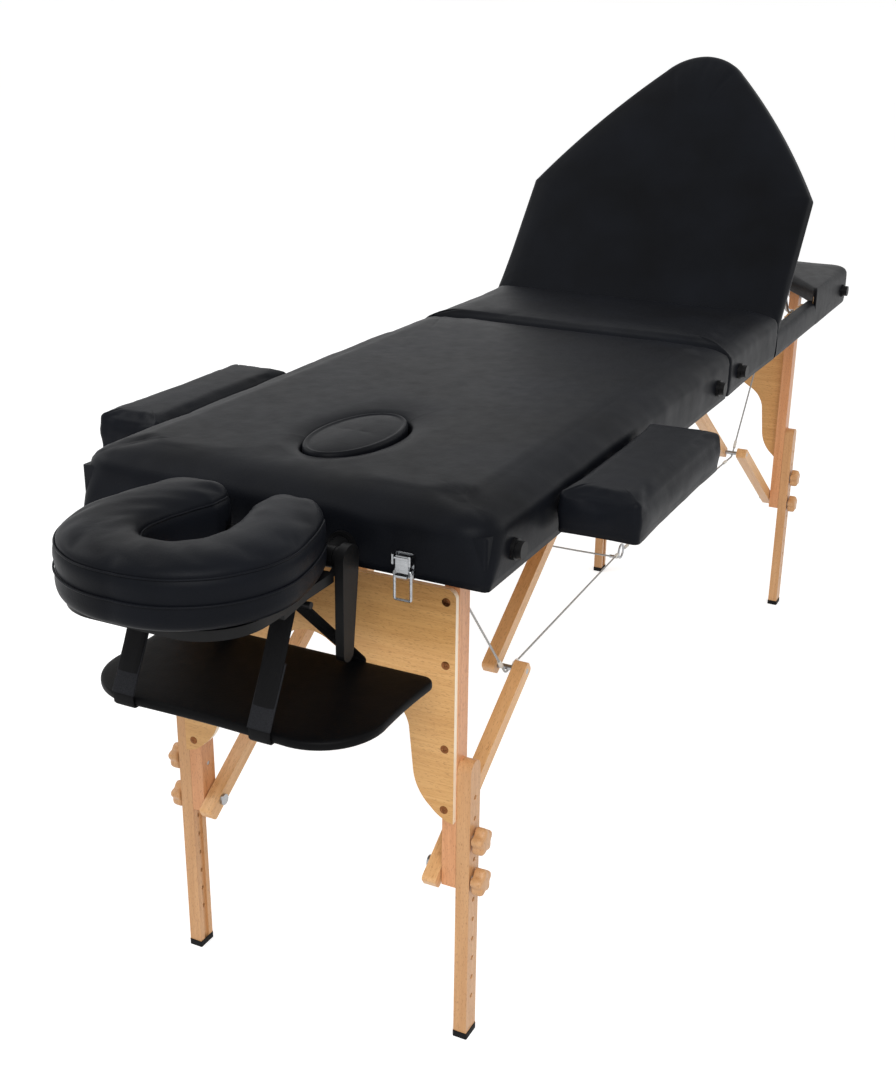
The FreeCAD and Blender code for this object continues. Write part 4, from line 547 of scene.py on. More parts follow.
def brace_cable(half, end, hand, side):
    """From the tab beside the leg's pivot, under the elbow's bolt, to the ring under the fold."""
    start = np.array((end * TAB_X, side * CABLE_Y, TAB_Z))
    corner = np.array((end * UNDER_BOLT_X, side * CABLE_Y, UNDER_BOLT_Z))
    finish = np.array((end * RING_END_X, side * RING_Y, RING_Z))
    path = smooth_line(np.array([start, stretch(corner, start, NEAR_CORNER), corner,
                                 stretch(corner, finish, NEAR_CORNER), finish]))
    body = half + "_half"
    rope = piece(f"{half}_{hand}_brace_cable", skin("cable", closed_tube(path, CABLE_R)), body,
                 wire_rope, [half + "_cables"])
    gaps = ((start, corner, 3.0), (finish, corner, 3.0), (corner, finish, 34.0), (corner, start, 20.0))
    sleeves = [sleeve(stretch(a, b, gap), stretch(a, b, gap + SLEEVE)) for a, b, gap in gaps]
    crimps = piece(f"{half}_{hand}_cable_sleeves", skin("sleeves", *sleeves), body, white_nylon)
    for part in (rope, crimps):
        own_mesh(part)


HALVES = ((-1, "head"), (1, "foot"))
for end, half in HALVES:
    for side, hand in HANDS:
        brace_cable(half, end, hand, side)


def cable_ring(side):
    """A wire's circle carried round the ring's circle, as a sheet."""
    turn, wire = circle(48), circle(12)
    spin = np.stack([np.cos(turn), 0 * turn, np.sin(turn)], -1)
    loop = (0, side * RING_Y, RING_Z) + RING_R * spin
    out, along = np.cos(wire)[None, :, None], np.sin(wire)[None, :, None]
    return loop[:, None] + RING_WIRE_R * (out * spin[:, None] + along * np.array((0.0, 1.0, 0.0))), True, True


low_z = RING_Z - RING_R
inner_y = RING_Y - NEAR_CORNER
sag = ((-RING_Y, 0), (-inner_y, 1.5), (0, 3), (inner_y, 1.5), (RING_Y, 0))
across = smooth_line(np.array([(0, y, low_z - drop) for y, drop in sag]))
cross_mesh = skin("cable", closed_tube(across, CABLE_R, 10, (1, 0, 0)))
cross_rope = piece("cross_cable_rope", cross_mesh, "fold_pin", wire_rope, ["cross_cable"])
rings = []
for side, hand in HANDS:
    near = RING_Y - RING_TO_SLEEVE
    rings.append(cable_ring(side))
    rings.append(sleeve((0, side * near, low_z - 0.3), (0, side * (near - SLEEVE), low_z - 1.2), (1, 0, 0)))
ring_pieces = piece("cable_rings", skin("rings", *rings), "fold_pin", zinc)


# Padded top of the head half, with the face hole
def pleats(outline, depth, corners):
    """Gathers in the cover at the rounded corners: waves across each corner's arc, drawn in by depth."""
    away = np.zeros(len(outline))
    for cx, cy in corners:
        angle = np.arctan2(np.abs(outline[:, 1]) - cy, np.abs(outline[:, 0]) - cx)
        near = np.clip(1 - np.abs(angle - math.pi / 4) / (math.pi / 4), 0, 1)
        inside = (np.abs(outline[:, 0]) > cx) & (np.abs(outline[:, 1]) > cy)
        away += inside * near ** 0.5 * np.sin(9 * angle) * depth
    return away


def top_outline(inset, x0, x1, corners, bows, counts, shares=(1.0, 1.0)):
    """The half's outline at an inset, of which each end takes its share."""
    return rounded_rectangle(x0 + inset * shares[0], x1 - inset * shares[1],
                             -HALF_WIDTH + inset, HALF_WIDTH - inset,
                             [max(r - inset, 5.0) for r in corners], bows, counts)


def oval(ring, grow):
    """The face hole's oval, grown outwards, met by rays from its middle to a ring of points."""
    away = ring - FACE_HOLE
    half = FACE_HALF + grow
    angle = np.arctan2(away[:, 1] / half[1], away[:, 0] / half[0])
    return FACE_HOLE + half * np.stack([np.cos(angle), np.sin(angle)], -1)


FOLD_SHARE, FOLD_GAP, FOLD_CORNER = 0.4, 0.4, 10.0
TOP_EDGE, TOP_CROWN, FLANK_RISE = 27.0, 3.0, 55
ON_DECK_Z, FOOT_Z = DECK_Z + 0.2, BOTTOM_Z + 0.1
STAPLED_Z, FREE_Z = 764, 778
HEAD_CORNER, HEAD_CORNER_GROWS = 9.0, 38.0
GATHER, GATHER_Z, GATHER_RUN = 0.25, 740, 42
HOLE_LIP, HOLE_ROLL, HOLE_RIM, HOLE_WALL_Z = 1.0, 9.0, 22.0, 768.0


def near_deck(p):
    """Share held by the staples along the deck's edge: all of it at the low mark, none at the high one."""
    return (FREE_Z - p[:, 2]) / (FREE_Z - STAPLED_Z)


def padded_row(ring, depth, z):
    """A ring drawn in by its depths and lifted."""
    return level(ring + inwards(ring) * depth[:, None], z)


def head_top():
    """Rows of outlines: up the drawn-in flank, whose end corners widen as they rise, round a broad edge, over
    the crown to the oval, down the hole's rolled rim to the deck, and back along the deck and the rail to
    the foot."""
    bows, counts, shares = (2.0, 0.0, 2.0), (84, 54, 12), (1.0, FOLD_SHARE)
    rows = []
    for z, inset in cushion_levels(BOTTOM_Z, TOP_Z, TOP_EDGE, TOP_CROWN, reach=64.0, broad=1.7):
        rise = min(1.0, (z - BOTTOM_Z) / FLANK_RISE)
        wide = HEAD_CORNER + HEAD_CORNER_GROWS * rise
        ring = top_outline(inset, -HALF_LENGTH, -FOLD_GAP, (wide, FOLD_CORNER), bows, counts, shares)
        gather = GATHER * max(0.0, (GATHER_Z - z) / GATHER_RUN)
        folds = pleats(ring, gather, [(HALF_LENGTH - wide, HALF_WIDTH - wide)])
        rows.append(padded_row(ring, folds + stuffing(ring, 0.9 * rise, z / 40), z))
    inner = rows[-1][:, :2]
    lip = oval(inner, HOLE_LIP)
    rows += drawn(inner, oval(inner, HOLE_RIM), np.linspace(0, 1, 12)[1:], TOP_Z)
    for angle in np.linspace(0, QUARTER, 6)[1:]:
        rows.append(level(oval(inner, HOLE_LIP + HOLE_ROLL * (1 - math.sin(angle))),
                          TOP_Z - HOLE_ROLL * (1 - math.cos(angle))))
    rows += [level(lip, z) for z in (HOLE_WALL_Z, ON_DECK_Z)]
    foot = top_outline(COVER, -HALF_LENGTH, -FOLD_GAP, (HEAD_CORNER, FOLD_CORNER), bows, counts)
    rows += drawn(lip, foot, (0.5, 1.0), ON_DECK_Z)
    rows.append(level(foot, FOOT_Z))
    return skin("head_top", (np.array(rows), True, True))


head = piece("head_top_cushion", head_top(), "head_half", leather, ["head_cushion"])
swell(head, near_deck, 2.5)

# Heights and insets of the plug: straight sides, a rolled welt, the groove inside it and the dome
PLUG_SECTION = (
    (753.2, 0.6), (757.0, 0.5), (776.0, 0.8), (782.0, 0.9), (785.6, 1.6), (787.4, 3.4), (787.8, 5.4),
    (787.0, 7.2), (786.2, 8.8), (786.6, 11.0), (787.6, 16.0), (788.6, 26.0), (789.2, 38.0),
)
PLUG_HALFWAY_Z, PLUG_TOP_Z, PLUG_WELT_Z = 789.5, 789.6, 786.4


def face_plug():
    """Dome over an oval, with a rolled welt round its edge and straight sides that go down the hole."""
    angle = circle(96)
    ring = np.stack([np.cos(angle), np.sin(angle)], -1)
    rows = [level(FACE_HOLE + ring * (FACE_HALF - inset), z) for z, inset in PLUG_SECTION]
    rows += drawn(rows[-1][:, :2], FACE_HOLE, (0.5,), PLUG_HALFWAY_Z)
    ends = [(*FACE_HOLE, z) for z in (PLUG_SECTION[0][0], PLUG_TOP_Z)]
    return skin("face_plug", capped(np.array(rows), *ends))


plug = piece("face_hole_plug_pad", face_plug(), "face_plug", leather, ["face_hole_plug"])
swell(plug, lambda p: p[:, 2] < PLUG_WELT_Z, 1.5)

SEAT_HEM_Z, SEAT_HEM_RUN, RAIL_INSIDE = 749.8, 20, 259.0


def seat_hem(rows):
    """Lifts what hangs across the seat's free end, between the rails, to the hem under the deck's edge."""
    rows = np.array(rows)
    free = (rows[..., 0] > SEAT_END - SEAT_HEM_RUN) & (np.abs(rows[..., 1]) < RAIL_INSIDE)
    rows[..., 2] = np.where(free, np.maximum(rows[..., 2], SEAT_HEM_Z), rows[..., 2])
    return rows


def seat_top():
    """As the head half's top, without a hole: the crown and the deck close on middle points."""
    shape = (FOLD_GAP, SEAT_END, (FOLD_CORNER, 8.0), (0.0, 0.0, 2.0), (34, 58, 7))
    middle = (SEAT_END / 2, 0.0)
    foot = top_outline(COVER, *shape)
    rows = [level(np.repeat([middle], len(foot), axis=0), ON_DECK_Z), level(foot, ON_DECK_Z),
            level(foot, FOOT_Z)]
    for z, inset in cushion_levels(BOTTOM_Z, TOP_Z, TOP_EDGE, TOP_CROWN, reach=70.0, broad=1.4):
        ring = top_outline(inset, *shape, (FOLD_SHARE, 0.7))
        rows.append(padded_row(ring, stuffing(ring, 0.7 * min(1.0, (z - BOTTOM_Z) / FLANK_RISE), z / 40), z))
    inner = rows[-1][:, :2]
    middle_line = np.stack([np.full(len(inner), middle[0]), inner[:, 1] * 0.55], -1)
    rows += drawn(inner, middle_line, (0.4, 0.75), TOP_Z)
    rows.append(level(np.repeat([middle], len(inner), axis=0), TOP_Z))
    return skin("seat_top", (seat_hem(rows), False, True))


seat = piece("seat_top_cushion", seat_top(), "foot_half", leather, ["seat_cushion"])
swell(seat, near_deck, 2.5)

# Rim beside the backrest: a covered low rail all round, and a corner pad at each side
RIM_BEND = 38.0
RIM_SECTION = np.array([
    (5.8, 697.6), (2.5, 697.6), (1.2, 700), (0.3, 708), (0.0, 722), (0.3, 733), (1.4, 739.5), (4.0, 743.0),
    (8.0, 744.2), (15, 744.4), (21, 744.0), (23.8, 742.4), (14, 742.2), (5.8, 742.2),
])


def rim_bend(count):
    """The right corner at the foot's end in plan: a quarter circle from the side to the end."""
    angle = np.linspace(0, QUARTER, count)
    return np.stack([HALF_LENGTH - RIM_BEND + RIM_BEND * np.sin(angle),
                     -HALF_WIDTH + RIM_BEND - RIM_BEND * np.cos(angle)], -1)


def rim_cover():
    """The rail's cover as a closed section carried along the rail from the seat, round the end and back."""
    side = np.vstack([evenly([(SEAT_END, -HALF_WIDTH), (HALF_LENGTH - RIM_BEND, -HALF_WIDTH)], 44)[:-1],
                      rim_bend(12),
                      evenly([(HALF_LENGTH, -HALF_WIDTH + RIM_BEND), (HALF_LENGTH, 0.0)], 20)[1:]])
    path = np.vstack([side, (side * (1, -1))[::-1][1:]])
    ahead = np.gradient(path, axis=0)
    inward = np.stack([-ahead[:, 1], ahead[:, 0]], -1) / np.linalg.norm(ahead, axis=1, keepdims=True)
    grid = np.empty((len(path), len(RIM_SECTION), 3))
    grid[..., :2] = path[:, None] + inward[:, None] * RIM_SECTION[None, :, :1]
    grid[..., 2] = RIM_SECTION[:, 1]
    return skin("rim_cover", capped(grid, grid[0].mean(0), grid[-1].mean(0)), sharp=50)


rim = piece("foot_rim_cover", rim_cover(), "foot_half", leather, ["foot_edge_pads"])


TAPER_BULGE, PEAK_TURN = (6, 8), (0.72, 0.56)


def back_outline(inset, start, counts=(40, 30, 34, 16)):
    """The backrest's outline in its own plane, along s from the hinge and across in y: straight foot and
    sides, bowed tapers and a rounded peak."""
    half, shoulder, taper = BACK_HALF - inset, BACK_SHOULDER - inset / 3, BACK_TAPER - inset
    taper_half, peak = BACK_TAPER_HALF - inset / 2, BACK_PEAK - inset
    bulge = ((shoulder + taper) / 2 + TAPER_BULGE[0], (half + taper_half) / 2 + TAPER_BULGE[1])
    turn = (taper + (peak - taper) * PEAK_TURN[0], taper_half * PEAK_TURN[1])
    foot, side, slope, tip = counts
    right = np.vstack([line((start, 0), (start, -half), foot // 2),
                       line((start, -half), (shoulder, -half), side),
                       arc((shoulder, -half), (bulge[0], -bulge[1]), (taper, -taper_half), slope),
                       arc((taper, -taper_half), (turn[0], -turn[1]), (peak, 0), tip)])
    left = (right * (1, -1))[::-1][:-1]
    return np.vstack([right, [(peak, 0)], left])


PAD_GAP, PAD_NEAR_Y, PAD_FAR_Y, PAD_TIP = 4.6, -281, -34, 4
PAD_MIDDLE, PAD_BELOW_Z, PAD_INSIDE_Z = np.array((850.0, -222.0)), 752.0, 741.5
PAD_EDGE_IN, PAD_EDGE_UP, PAD_CROWN = 19.0, 16.0, 3.4
PAD_OUTER, PAD_INNER, PAD_EASE = 110, 70, 7
PAD_GATHER, PAD_PULL, PAD_SWELL, PAD_TURN_IN = 1.6, 1.6, 0.6, 8


def corner_pad(side):
    """A three-sided pad between the backrest's slope and the frame's corner: a crown that rises from a middle
    point, a rounded edge, and a flank that goes down to the frame's foot outside and to the rail's cover
    inside."""
    gap = back_outline(-PAD_GAP, 0.0)
    beside = (gap[:, 0] > BACK_SHOULDER / 2) & (gap[:, 1] > PAD_NEAR_Y) & (gap[:, 1] < PAD_FAR_Y)
    slope = gap[beside] + (BACK_X, 0)
    corner = [(slope[0][0] - PAD_TIP, -HALF_WIDTH), *rim_bend(14), (HALF_LENGTH, slope[-1][1])]
    outer, inner = evenly(corner, PAD_OUTER), evenly(slope[::-1], PAD_INNER)
    ring = np.vstack([outer, evenly([outer[-1], inner[0]], 8)[1:-1],
                      inner, evenly([inner[-1], outer[0]], 6)[1:-1]])
    away = np.linalg.norm(ring - PAD_MIDDLE, axis=1, keepdims=True)
    outside = np.zeros(len(ring))
    outside[:PAD_OUTER] = 1
    margin = PAD_EASE - 1
    ease = np.ones(PAD_EASE) / PAD_EASE
    outside = np.convolve(np.r_[outside[-margin:], outside, outside[:margin]], ease, "same")[margin:-margin]
    gathers = pleats(ring, PAD_GATHER, [(HALF_LENGTH - RIM_BEND, HALF_WIDTH - RIM_BEND)])
    foot = PAD_INSIDE_Z + (FOOT_Z - PAD_INSIDE_Z) * outside
    rows = [level(np.repeat([PAD_MIDDLE], len(ring), axis=0), PAD_BELOW_Z),
            level(ring + (PAD_MIDDLE - ring) * PAD_TURN_IN / away, foot)]
    for t in (0.0, 0.12, 0.4, 0.7, 1.0):
        inset = PAD_PULL * (1 - t) ** 2 - PAD_SWELL * math.sin(math.pi * t) + gathers * (1 - t)
        rows.append(level(ring + (PAD_MIDDLE - ring) * (inset[:, None] / away), foot + (DECK_Z - foot) * t))
    for angle in np.linspace(0, QUARTER, 7)[1:]:
        inset = PAD_EDGE_IN * (1 - math.cos(angle)) + 0.5 * gathers * math.cos(angle)
        lift = DECK_Z + PAD_EDGE_UP * math.sin(angle)
        rows.append(level(ring + (PAD_MIDDLE - ring) * (inset[:, None] / away), lift))
    shares = np.array((0.2, 0.45, 0.7, 1.0))
    heights = DECK_Z + PAD_EDGE_UP + PAD_CROWN * np.sin(QUARTER * shares)
    rows += drawn(rows[-1][:, :2], PAD_MIDDLE, shares, heights)
    return skin("corner_pad", (np.array(rows) * (1, -side, 1), False, True))


for side, hand in HANDS:
    pad = piece(f"foot_{hand}_corner_pad", corner_pad(side), "foot_half", leather,
                ["foot_edge_pads"], 1)


# Backrest
def tilted(points):
    """Turns points in the backrest's plane (s, y, rise) up about its hinge."""
    s, y, rise = np.moveaxis(np.asarray(points, float), -1, 0)
    c, d = math.cos(BACK_TILT), math.sin(BACK_TILT)
    return np.stack([BACK_X + s * c - rise * d, y, BACK_Z + s * d + rise * c], -1)


BACK_SECTION = ((0.3, 3.0), (1.5, 1.2), (5, 0.4), (10, 0.0), (15, 0.3), (19, 1.6), (22.5, 4.2), (25.2, 8.2),
                (27, 13.5), (28, 20.0), (28.6, 32.0), (29.2, 50.0), (29.8, 78.0))
BACK_MIDDLE, BACK_CROWN, HINGE_ROUND, HINGE_TURN_IN = (235.0, 0.0), 30.0, 27.6, 3.0
BACK_STAPLED, BACK_FOOT_HELD = 12, 8


def back_cushion():
    """Rows of outlines: flat below, full edges, a round foot about the hinge, and a low crown, closed on
    middle points."""
    rows = []
    for rise, inset in BACK_SECTION:
        start = inset / 2
        if rise < HINGE_ROUND:
            start = -math.sqrt(HINGE_ROUND ** 2 - rise ** 2) + (HINGE_TURN_IN if rise < 1 else 0.0)
        rows.append(level(back_outline(inset, start), rise))
    inner = rows[-1][:, :2]
    rows += drawn(inner, BACK_MIDDLE, (0.35, 0.7, 1.0), BACK_CROWN)
    rows.insert(0, level(np.repeat([BACK_MIDDLE], len(inner), axis=0), BACK_SECTION[0][0]))
    return skin("back_cushion", (tilted(rows), False, True))


def near_back_board(p):
    """Points that stay put: the cushion's flat back, by its rise above the backrest's plane, and its foot."""
    rise = -(p[:, 0] - BACK_X) * math.sin(BACK_TILT) + (p[:, 2] - BACK_Z) * math.cos(BACK_TILT)
    along = (p[:, 0] - BACK_X) * math.cos(BACK_TILT) + (p[:, 2] - BACK_Z) * math.sin(BACK_TILT)
    return (rise < BACK_STAPLED) | (along < BACK_FOOT_HELD)


back = piece("backrest_pad", back_cushion(), "backrest", leather, ["backrest_cushion"])
swell(back, near_back_board, 2.5)

# Face cradle cushion: arcs of its left half in plan, each as first, middle and last point and a count
OUTER_ARCS = (((-1217, 0), (-1181.4, 100.8), (-1085, 140), 60), ((-1085, 140), (-1015, 125), (-945, 92), 40))
INNER_ARCS = (((-1133, 0), (-1117.4, 32.3), (-1081, 43), 30), ((-1081, 43), (-1040, 35.5), (-999, 22), 30),
              ((-999, 22), (-972, 24), (-945, 30), 20))
CRADLE_Z, CRADLE_UP, CRADLE_DOWN, CRADLE_POINTS = 748.0, 41.0, 35.7, 64
SEAM_ANGLES = np.radians((25.0, -0.1, 155.0))
SEAM_DIP, SEAM_WIDTH = 1.6, 0.06
CREASE_DEEP, CREASE_ROWS, CREASE_SLANT, CREASE_GROUP = 0.9, 13.0, 0.9, 37.0
PLATFORM_X, PLATFORM_Z = -984, 738.5
HELD_FOOT_Z, HELD_ENDS_X, HELD_ENDS_Z, HELD_AT_SEAM = 722, -990, 740, 2.0
END_ROWS, END_NARROW, END_LOW = 9.0, 0.25, 0.35
# Powers of the section's superellipse, below and above its middle
BLUNT_ACROSS, BLUNT_HEIGHT = (0.3, 0.55), (0.32, 0.62)


def horseshoe():
    """Outer and inner lines of the horseshoe from one end to the other, as rows that face each other."""
    halves = []
    for arcs in (OUTER_ARCS, INNER_ARCS):
        half = evenly(np.vstack([arc(*one) for one in arcs] + [arcs[-1][2]]), CRADLE_POINTS)
        halves.append(np.vstack([(half * (1, -1))[::-1], half[1:]]))
    return halves


def cradle_lines(angle):
    """Lines along the horseshoe, one for each angle of its section: a superellipse between the inner and the
    outer line, blunter below than above, with rounded ends and slanting creases across the crown."""
    outer, inner = horseshoe()
    count = len(outer)
    c, s = np.cos(angle), np.sin(angle)
    across = np.sign(c) * np.abs(c) ** np.where(s < 0, *BLUNT_ACROSS)
    height = np.sign(s) * np.abs(s) ** np.where(s < 0, *BLUNT_HEIGHT)
    ends = np.minimum(np.arange(count), count - 1 - np.arange(count)) / END_ROWS
    close = np.sqrt(np.clip(1 - (1 - np.clip(ends, 0, 1)) ** 2, 0, 1))
    middle, reach = (outer + inner) / 2, (outer - inner) / 2
    grid = np.empty((count, len(angle), 3))
    narrow = (END_NARROW + (1 - END_NARROW) * close)[:, None, None]
    grid[..., :2] = middle[:, None] + reach[:, None] * across[None, :, None] * narrow
    run = np.arange(count)[:, None]
    slanting = np.sin(TURN * (run / CREASE_ROWS + across[None] * CREASE_SLANT))
    crease = slanting * np.sin(TURN * run / CREASE_GROUP + 1.0)
    top = np.clip(height, 0, 1)[None] ** 2
    tall = np.where(s < 0, CRADLE_DOWN, CRADLE_UP)[None] * (END_LOW + (1 - END_LOW) * close)[:, None]
    grid[..., 2] = CRADLE_Z + tall * height[None] - CREASE_DEEP * top * (1 + crease)
    low = (grid[..., 0] > PLATFORM_X) & (grid[..., 2] < PLATFORM_Z)
    grid[..., 2] = np.where(low, PLATFORM_Z, grid[..., 2])
    return grid


def cradle_cushion():
    """The section carried round the horseshoe, drawn in a little along the seams, and closed at both ends."""
    angle = np.sort(np.concatenate([circle(60), SEAM_ANGLES % TURN]))
    grid = cradle_lines(angle)
    outer, inner = horseshoe()
    inward = (inner - outer) / np.linalg.norm(inner - outer, axis=1, keepdims=True)
    for seam in SEAM_ANGLES:
        away = np.abs((angle - seam + math.pi) % TURN - math.pi)
        dip = SEAM_DIP * np.exp(-(away / SEAM_WIDTH) ** 2) * np.sign(math.cos(seam))
        grid[..., :2] += inward[:, None] * dip[None, :, None]
    return skin("cradle_cushion", capped(grid, grid[0].mean(0), grid[-1].mean(0)))


def near_seams(p):
    """Points of the cradle cushion that stay put: its foot, its ends on the platform and its seams."""
    heights = cradle_lines(SEAM_ANGLES)[CRADLE_POINTS, :, 2]
    near = np.abs(p[:, 2, None] - heights).min(axis=1) < HELD_AT_SEAM
    return near | (p[:, 2] < HELD_FOOT_Z) | (p[:, 0] > HELD_ENDS_X) & (p[:, 2] < HELD_ENDS_Z)


cradle = piece("cradle_ring_cushion", cradle_cushion(), "cradle_top", leather, ["cradle_cushion"])
swell(cradle, near_seams, 3.0)


def cradle_welts():
    """Thin sewn welts that lie in the cushion's seams: two round its outer flank and one round its inner."""
    lines = np.moveaxis(cradle_lines(SEAM_ANGLES)[8:-8], 1, 0)
    return skin("cradle_welts", *[closed_tube(path, 1.25, 8, (0, 0, 1)) for path in lines])


piece("cradle_welts", cradle_welts(), "cradle_top", leather)

# Armrests: pad and board in one cover, with gathered corners
REST_X, REST_Y, REST_CORNER = (-755.0, -425.0), (290.0, 395.0), 9.0
REST_FOOT_Z, REST_TOP_Z, REST_STAPLED_Z, REST_SPINE_IN = 714.0, 768.0, 722, 52
REST_GATHER_X, REST_GATHER_Y, REST_GATHER_RUN, REST_FOLDS = 145, 30, 20, 3.2


def armrest(side):
    """Rows of outlines, closed on a spine above and below: tight corners with gathers, and a slightly hollow
    flank."""
    (x0, x1), (y0, y1) = REST_X, REST_Y
    centre = (x0 + x1) / 2, (y0 + y1) / 2
    rows = []
    for z, inset in cushion_levels(REST_FOOT_Z + 0.2, REST_TOP_Z, edge=8.0, crown=2.5, reach=26.0, pull=1.5):
        corners = [max(REST_CORNER - inset, 3.0)] * 2
        ring = rounded_rectangle(x0 + inset, x1 - inset, y0 + inset, y1 - inset, corners,
                                 (1.5, 1.5, 1.5), (40, 16, 9))
        away = np.abs(ring - centre)
        at_corner = np.clip((away - (REST_GATHER_X, REST_GATHER_Y)) / REST_GATHER_RUN, 0, 1).prod(axis=1)
        gather = at_corner * np.sin((z - REST_FOOT_Z) / (REST_TOP_Z - REST_FOOT_Z) * REST_FOLDS * math.pi)
        rows.append(padded_row(ring, stuffing(ring, 0.35, z / 30 + side) + gather, z))
    below, inner = rows[0][:, :2], rows[-1][:, :2]
    along = np.clip(inner[:, 0], x0 + REST_SPINE_IN, x1 - REST_SPINE_IN)
    spine = np.stack([along, np.full(len(inner), centre[1])], -1)
    rows = drawn(below, spine, (1.0, 0.5, 0.06), REST_FOOT_Z) + rows
    rows += drawn(inner, spine, (0.5, 1.0), (REST_TOP_Z + 0.3, REST_TOP_Z + 0.6))
    return skin("armrest", (np.array(rows) * (1, side, 1), False, True))


for side, hand in HANDS:
    rest = piece(f"armrest_{hand}_cover", armrest(side), "armrest_" + hand, leather,
                 [f"armrest_{hand}_pad"])
    swell(rest, lambda p: p[:, 2] < REST_STAPLED_Z, 3.0)

# Arm shelf and its straps
SHELF_X, SHELF_Y, SHELF_CORNERS = (-1097, -890), (-203, 168), (78, 16)
SHELF_SECTION = ((548.0, 3.0), (549.2, 1.0), (551.0, 0.0), (556.0, 0.0), (558.4, 1.0), (559.6, 3.0),
                 (560.2, 7.0), (560.8, 14.0), (561.2, 30.0))
SHELF_CROWN_Z, SHELF_SPINE_X, SHELF_SPINE_Y = 561.4, -985.0, (-110, 75)


def shelf_pad():
    """Rows of outlines with broad front corners: a rounded edge and a low crown, closed on a spine above and
    below."""
    front, rear = SHELF_CORNERS
    rows = []
    for z, inset in SHELF_SECTION:
        ring = rounded_rectangle(SHELF_X[0] + inset, SHELF_X[1] - inset,
                                 SHELF_Y[0] + inset, SHELF_Y[1] - inset,
                                 (front - inset, max(rear - inset, 3)), (3.0, 0.0, 2.0), (26, 40, 14))
        rows.append(level(ring, z))
    below, inner = rows[0][:, :2], rows[-1][:, :2]
    spine = np.stack([np.full(len(inner), SHELF_SPINE_X), np.clip(inner[:, 1], *SHELF_SPINE_Y)], -1)
    rows = drawn(below, spine, (1.0, 0.5, 0.05), SHELF_SECTION[0][0]) + rows
    rows += drawn(inner, spine, (0.5, 1.0), SHELF_CROWN_Z)
    return skin("shelf_pad", (np.array(rows), False, True))


shelf = piece("arm_shelf_pad", shelf_pad(), "shelf", shelf_leather, ["arm_shelf"], 1)

STRAP, STRAP_HALF, STRAP_Y, STRAP_POINTS = 2.2, 14.0, 92.0, 120
BAR_X, BAR_Z, BAR_R = -1032, 690, 4.3
STRAP_REAR = ((-888.6, 562.0), (-888.4, 553.0), (-889.5, 547.6), (-893.0, 546.4))
STRAP_FRONT = ((-1094.0, 546.4), (-1097.6, 547.6), (-1098.6, 553.0), (-1098.4, 562.0))
PATCH_LOW, PATCH_HIGH, PATCH_LIFT, PATCH_THICK = (-1099.6, 563.0), (-1064.0, 630.0), (1.2, 0.6), 1.6
TAPE_SECTION = np.array([
    (-1, 0.25), (-0.96, 0.5), (-0.5, 0.55), (0, 0.55), (0.5, 0.55), (0.96, 0.5), (1, 0.25),
    (1, -0.25), (0.96, -0.5), (0, -0.5), (-0.96, -0.5), (-1, -0.25),
])


def tape(path, y, half, thick):
    """A flat woven tape along a closed path in x and z, with rounded selvedges, centred on y."""
    lift = inwards(path)[:, None] * (TAPE_SECTION[None, :, 1:] * thick)
    grid = np.empty((len(path), len(TAPE_SECTION), 3))
    grid[..., 0] = path[:, None, 0] + lift[..., 0]
    grid[..., 1] = y + half * TAPE_SECTION[:, 0]
    grid[..., 2] = path[:, None, 1] + lift[..., 1]
    return grid, True, True


def strap_path():
    """Over the strap bar, down the rear, under the shelf and up the front, as a closed line."""
    hug = BAR_R + STRAP / 2
    turn = np.linspace(math.radians(160), math.radians(20), 9)
    over = np.stack([BAR_X + hug * np.cos(turn), BAR_Z + hug * np.sin(turn)], -1)
    return evenly(np.vstack([over, STRAP_REAR, STRAP_FRONT, over[:1]]), STRAP_POINTS + 1)[:-1]


def patch_path():
    """Up the strap's front and down again a little behind, as a closed line."""
    behind = np.array([PATCH_HIGH, PATCH_LOW]) + PATCH_LIFT
    return np.vstack([evenly([PATCH_LOW, PATCH_HIGH], 24), evenly(behind, 24)])


for side, hand in HANDS:
    y = side * STRAP_Y
    strap = piece(f"shelf_strap_{hand}", skin("strap", tape(strap_path(), y, STRAP_HALF, STRAP)),
                  "shelf_straps", webbing, ["arm_shelf_straps"])
    patch_mesh = skin("hook_tape", tape(patch_path(), y, STRAP_HALF + 1, PATCH_THICK))
    patch = piece(f"shelf_strap_{hand}_hook_tape", patch_mesh, "shelf_straps", hook_tape)
    for part in (strap, patch):
        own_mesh(part)

# Star knobs on their studs, and the screws of the end panels
KNOB_Z = {"upper": 307.0, "lower": 246.0}
KNOB_FACE, KNOB_R, KNOB_LOBE, KNOB_LOBES, KNOB_THICK = 227.3, 16.4, 2.1, 5, 16.5
KNOB_SECTION = ((0.0, 7.5), (0.2, 2.7), (1.0, 0.8), (2.6, 0.0), (7.4, -0.2), (12.0, 0.0), (14.4, 1.0),
                (15.7, 2.7), (16.3, 5.4), (KNOB_THICK, 8.4))
STUD_R, STUD_START, STUD_IN_KNOB, WASHER, WASHER_R = 3.0, 186.3, 8.0, 1.7, 9.0
SCREW_R, SCREW_HEAD, SLOT_HALF, SLOT_REACH, SLOT_DEEP = 5.6, 0.9, 0.75, 3.1, 0.6
SCREW_Y, SCREW_Z, SCREW_SUNK = 192.0, (637.0, 553.6, 438.6, 352.0), 0.4
PANEL_FACE = LEG_X + 22.0


def star_knob(x, z, side):
    """A turned knob with five lobes: its radius swings as a cosine, and both faces have rounded edges."""
    angle = circle(90)
    lobes = KNOB_R + KNOB_LOBE * np.cos(KNOB_LOBES * angle)
    rows = [np.stack([x + (lobes - inset) * np.sin(angle), np.full(len(angle), side * (KNOB_FACE + depth)),
                      z + (lobes - inset) * np.cos(angle)], -1) for depth, inset in KNOB_SECTION]
    poles = [(x, side * (KNOB_FACE + depth), z) for depth in (0.0, KNOB_THICK)]
    return skin("star_knob", capped(np.array(rows), *poles))


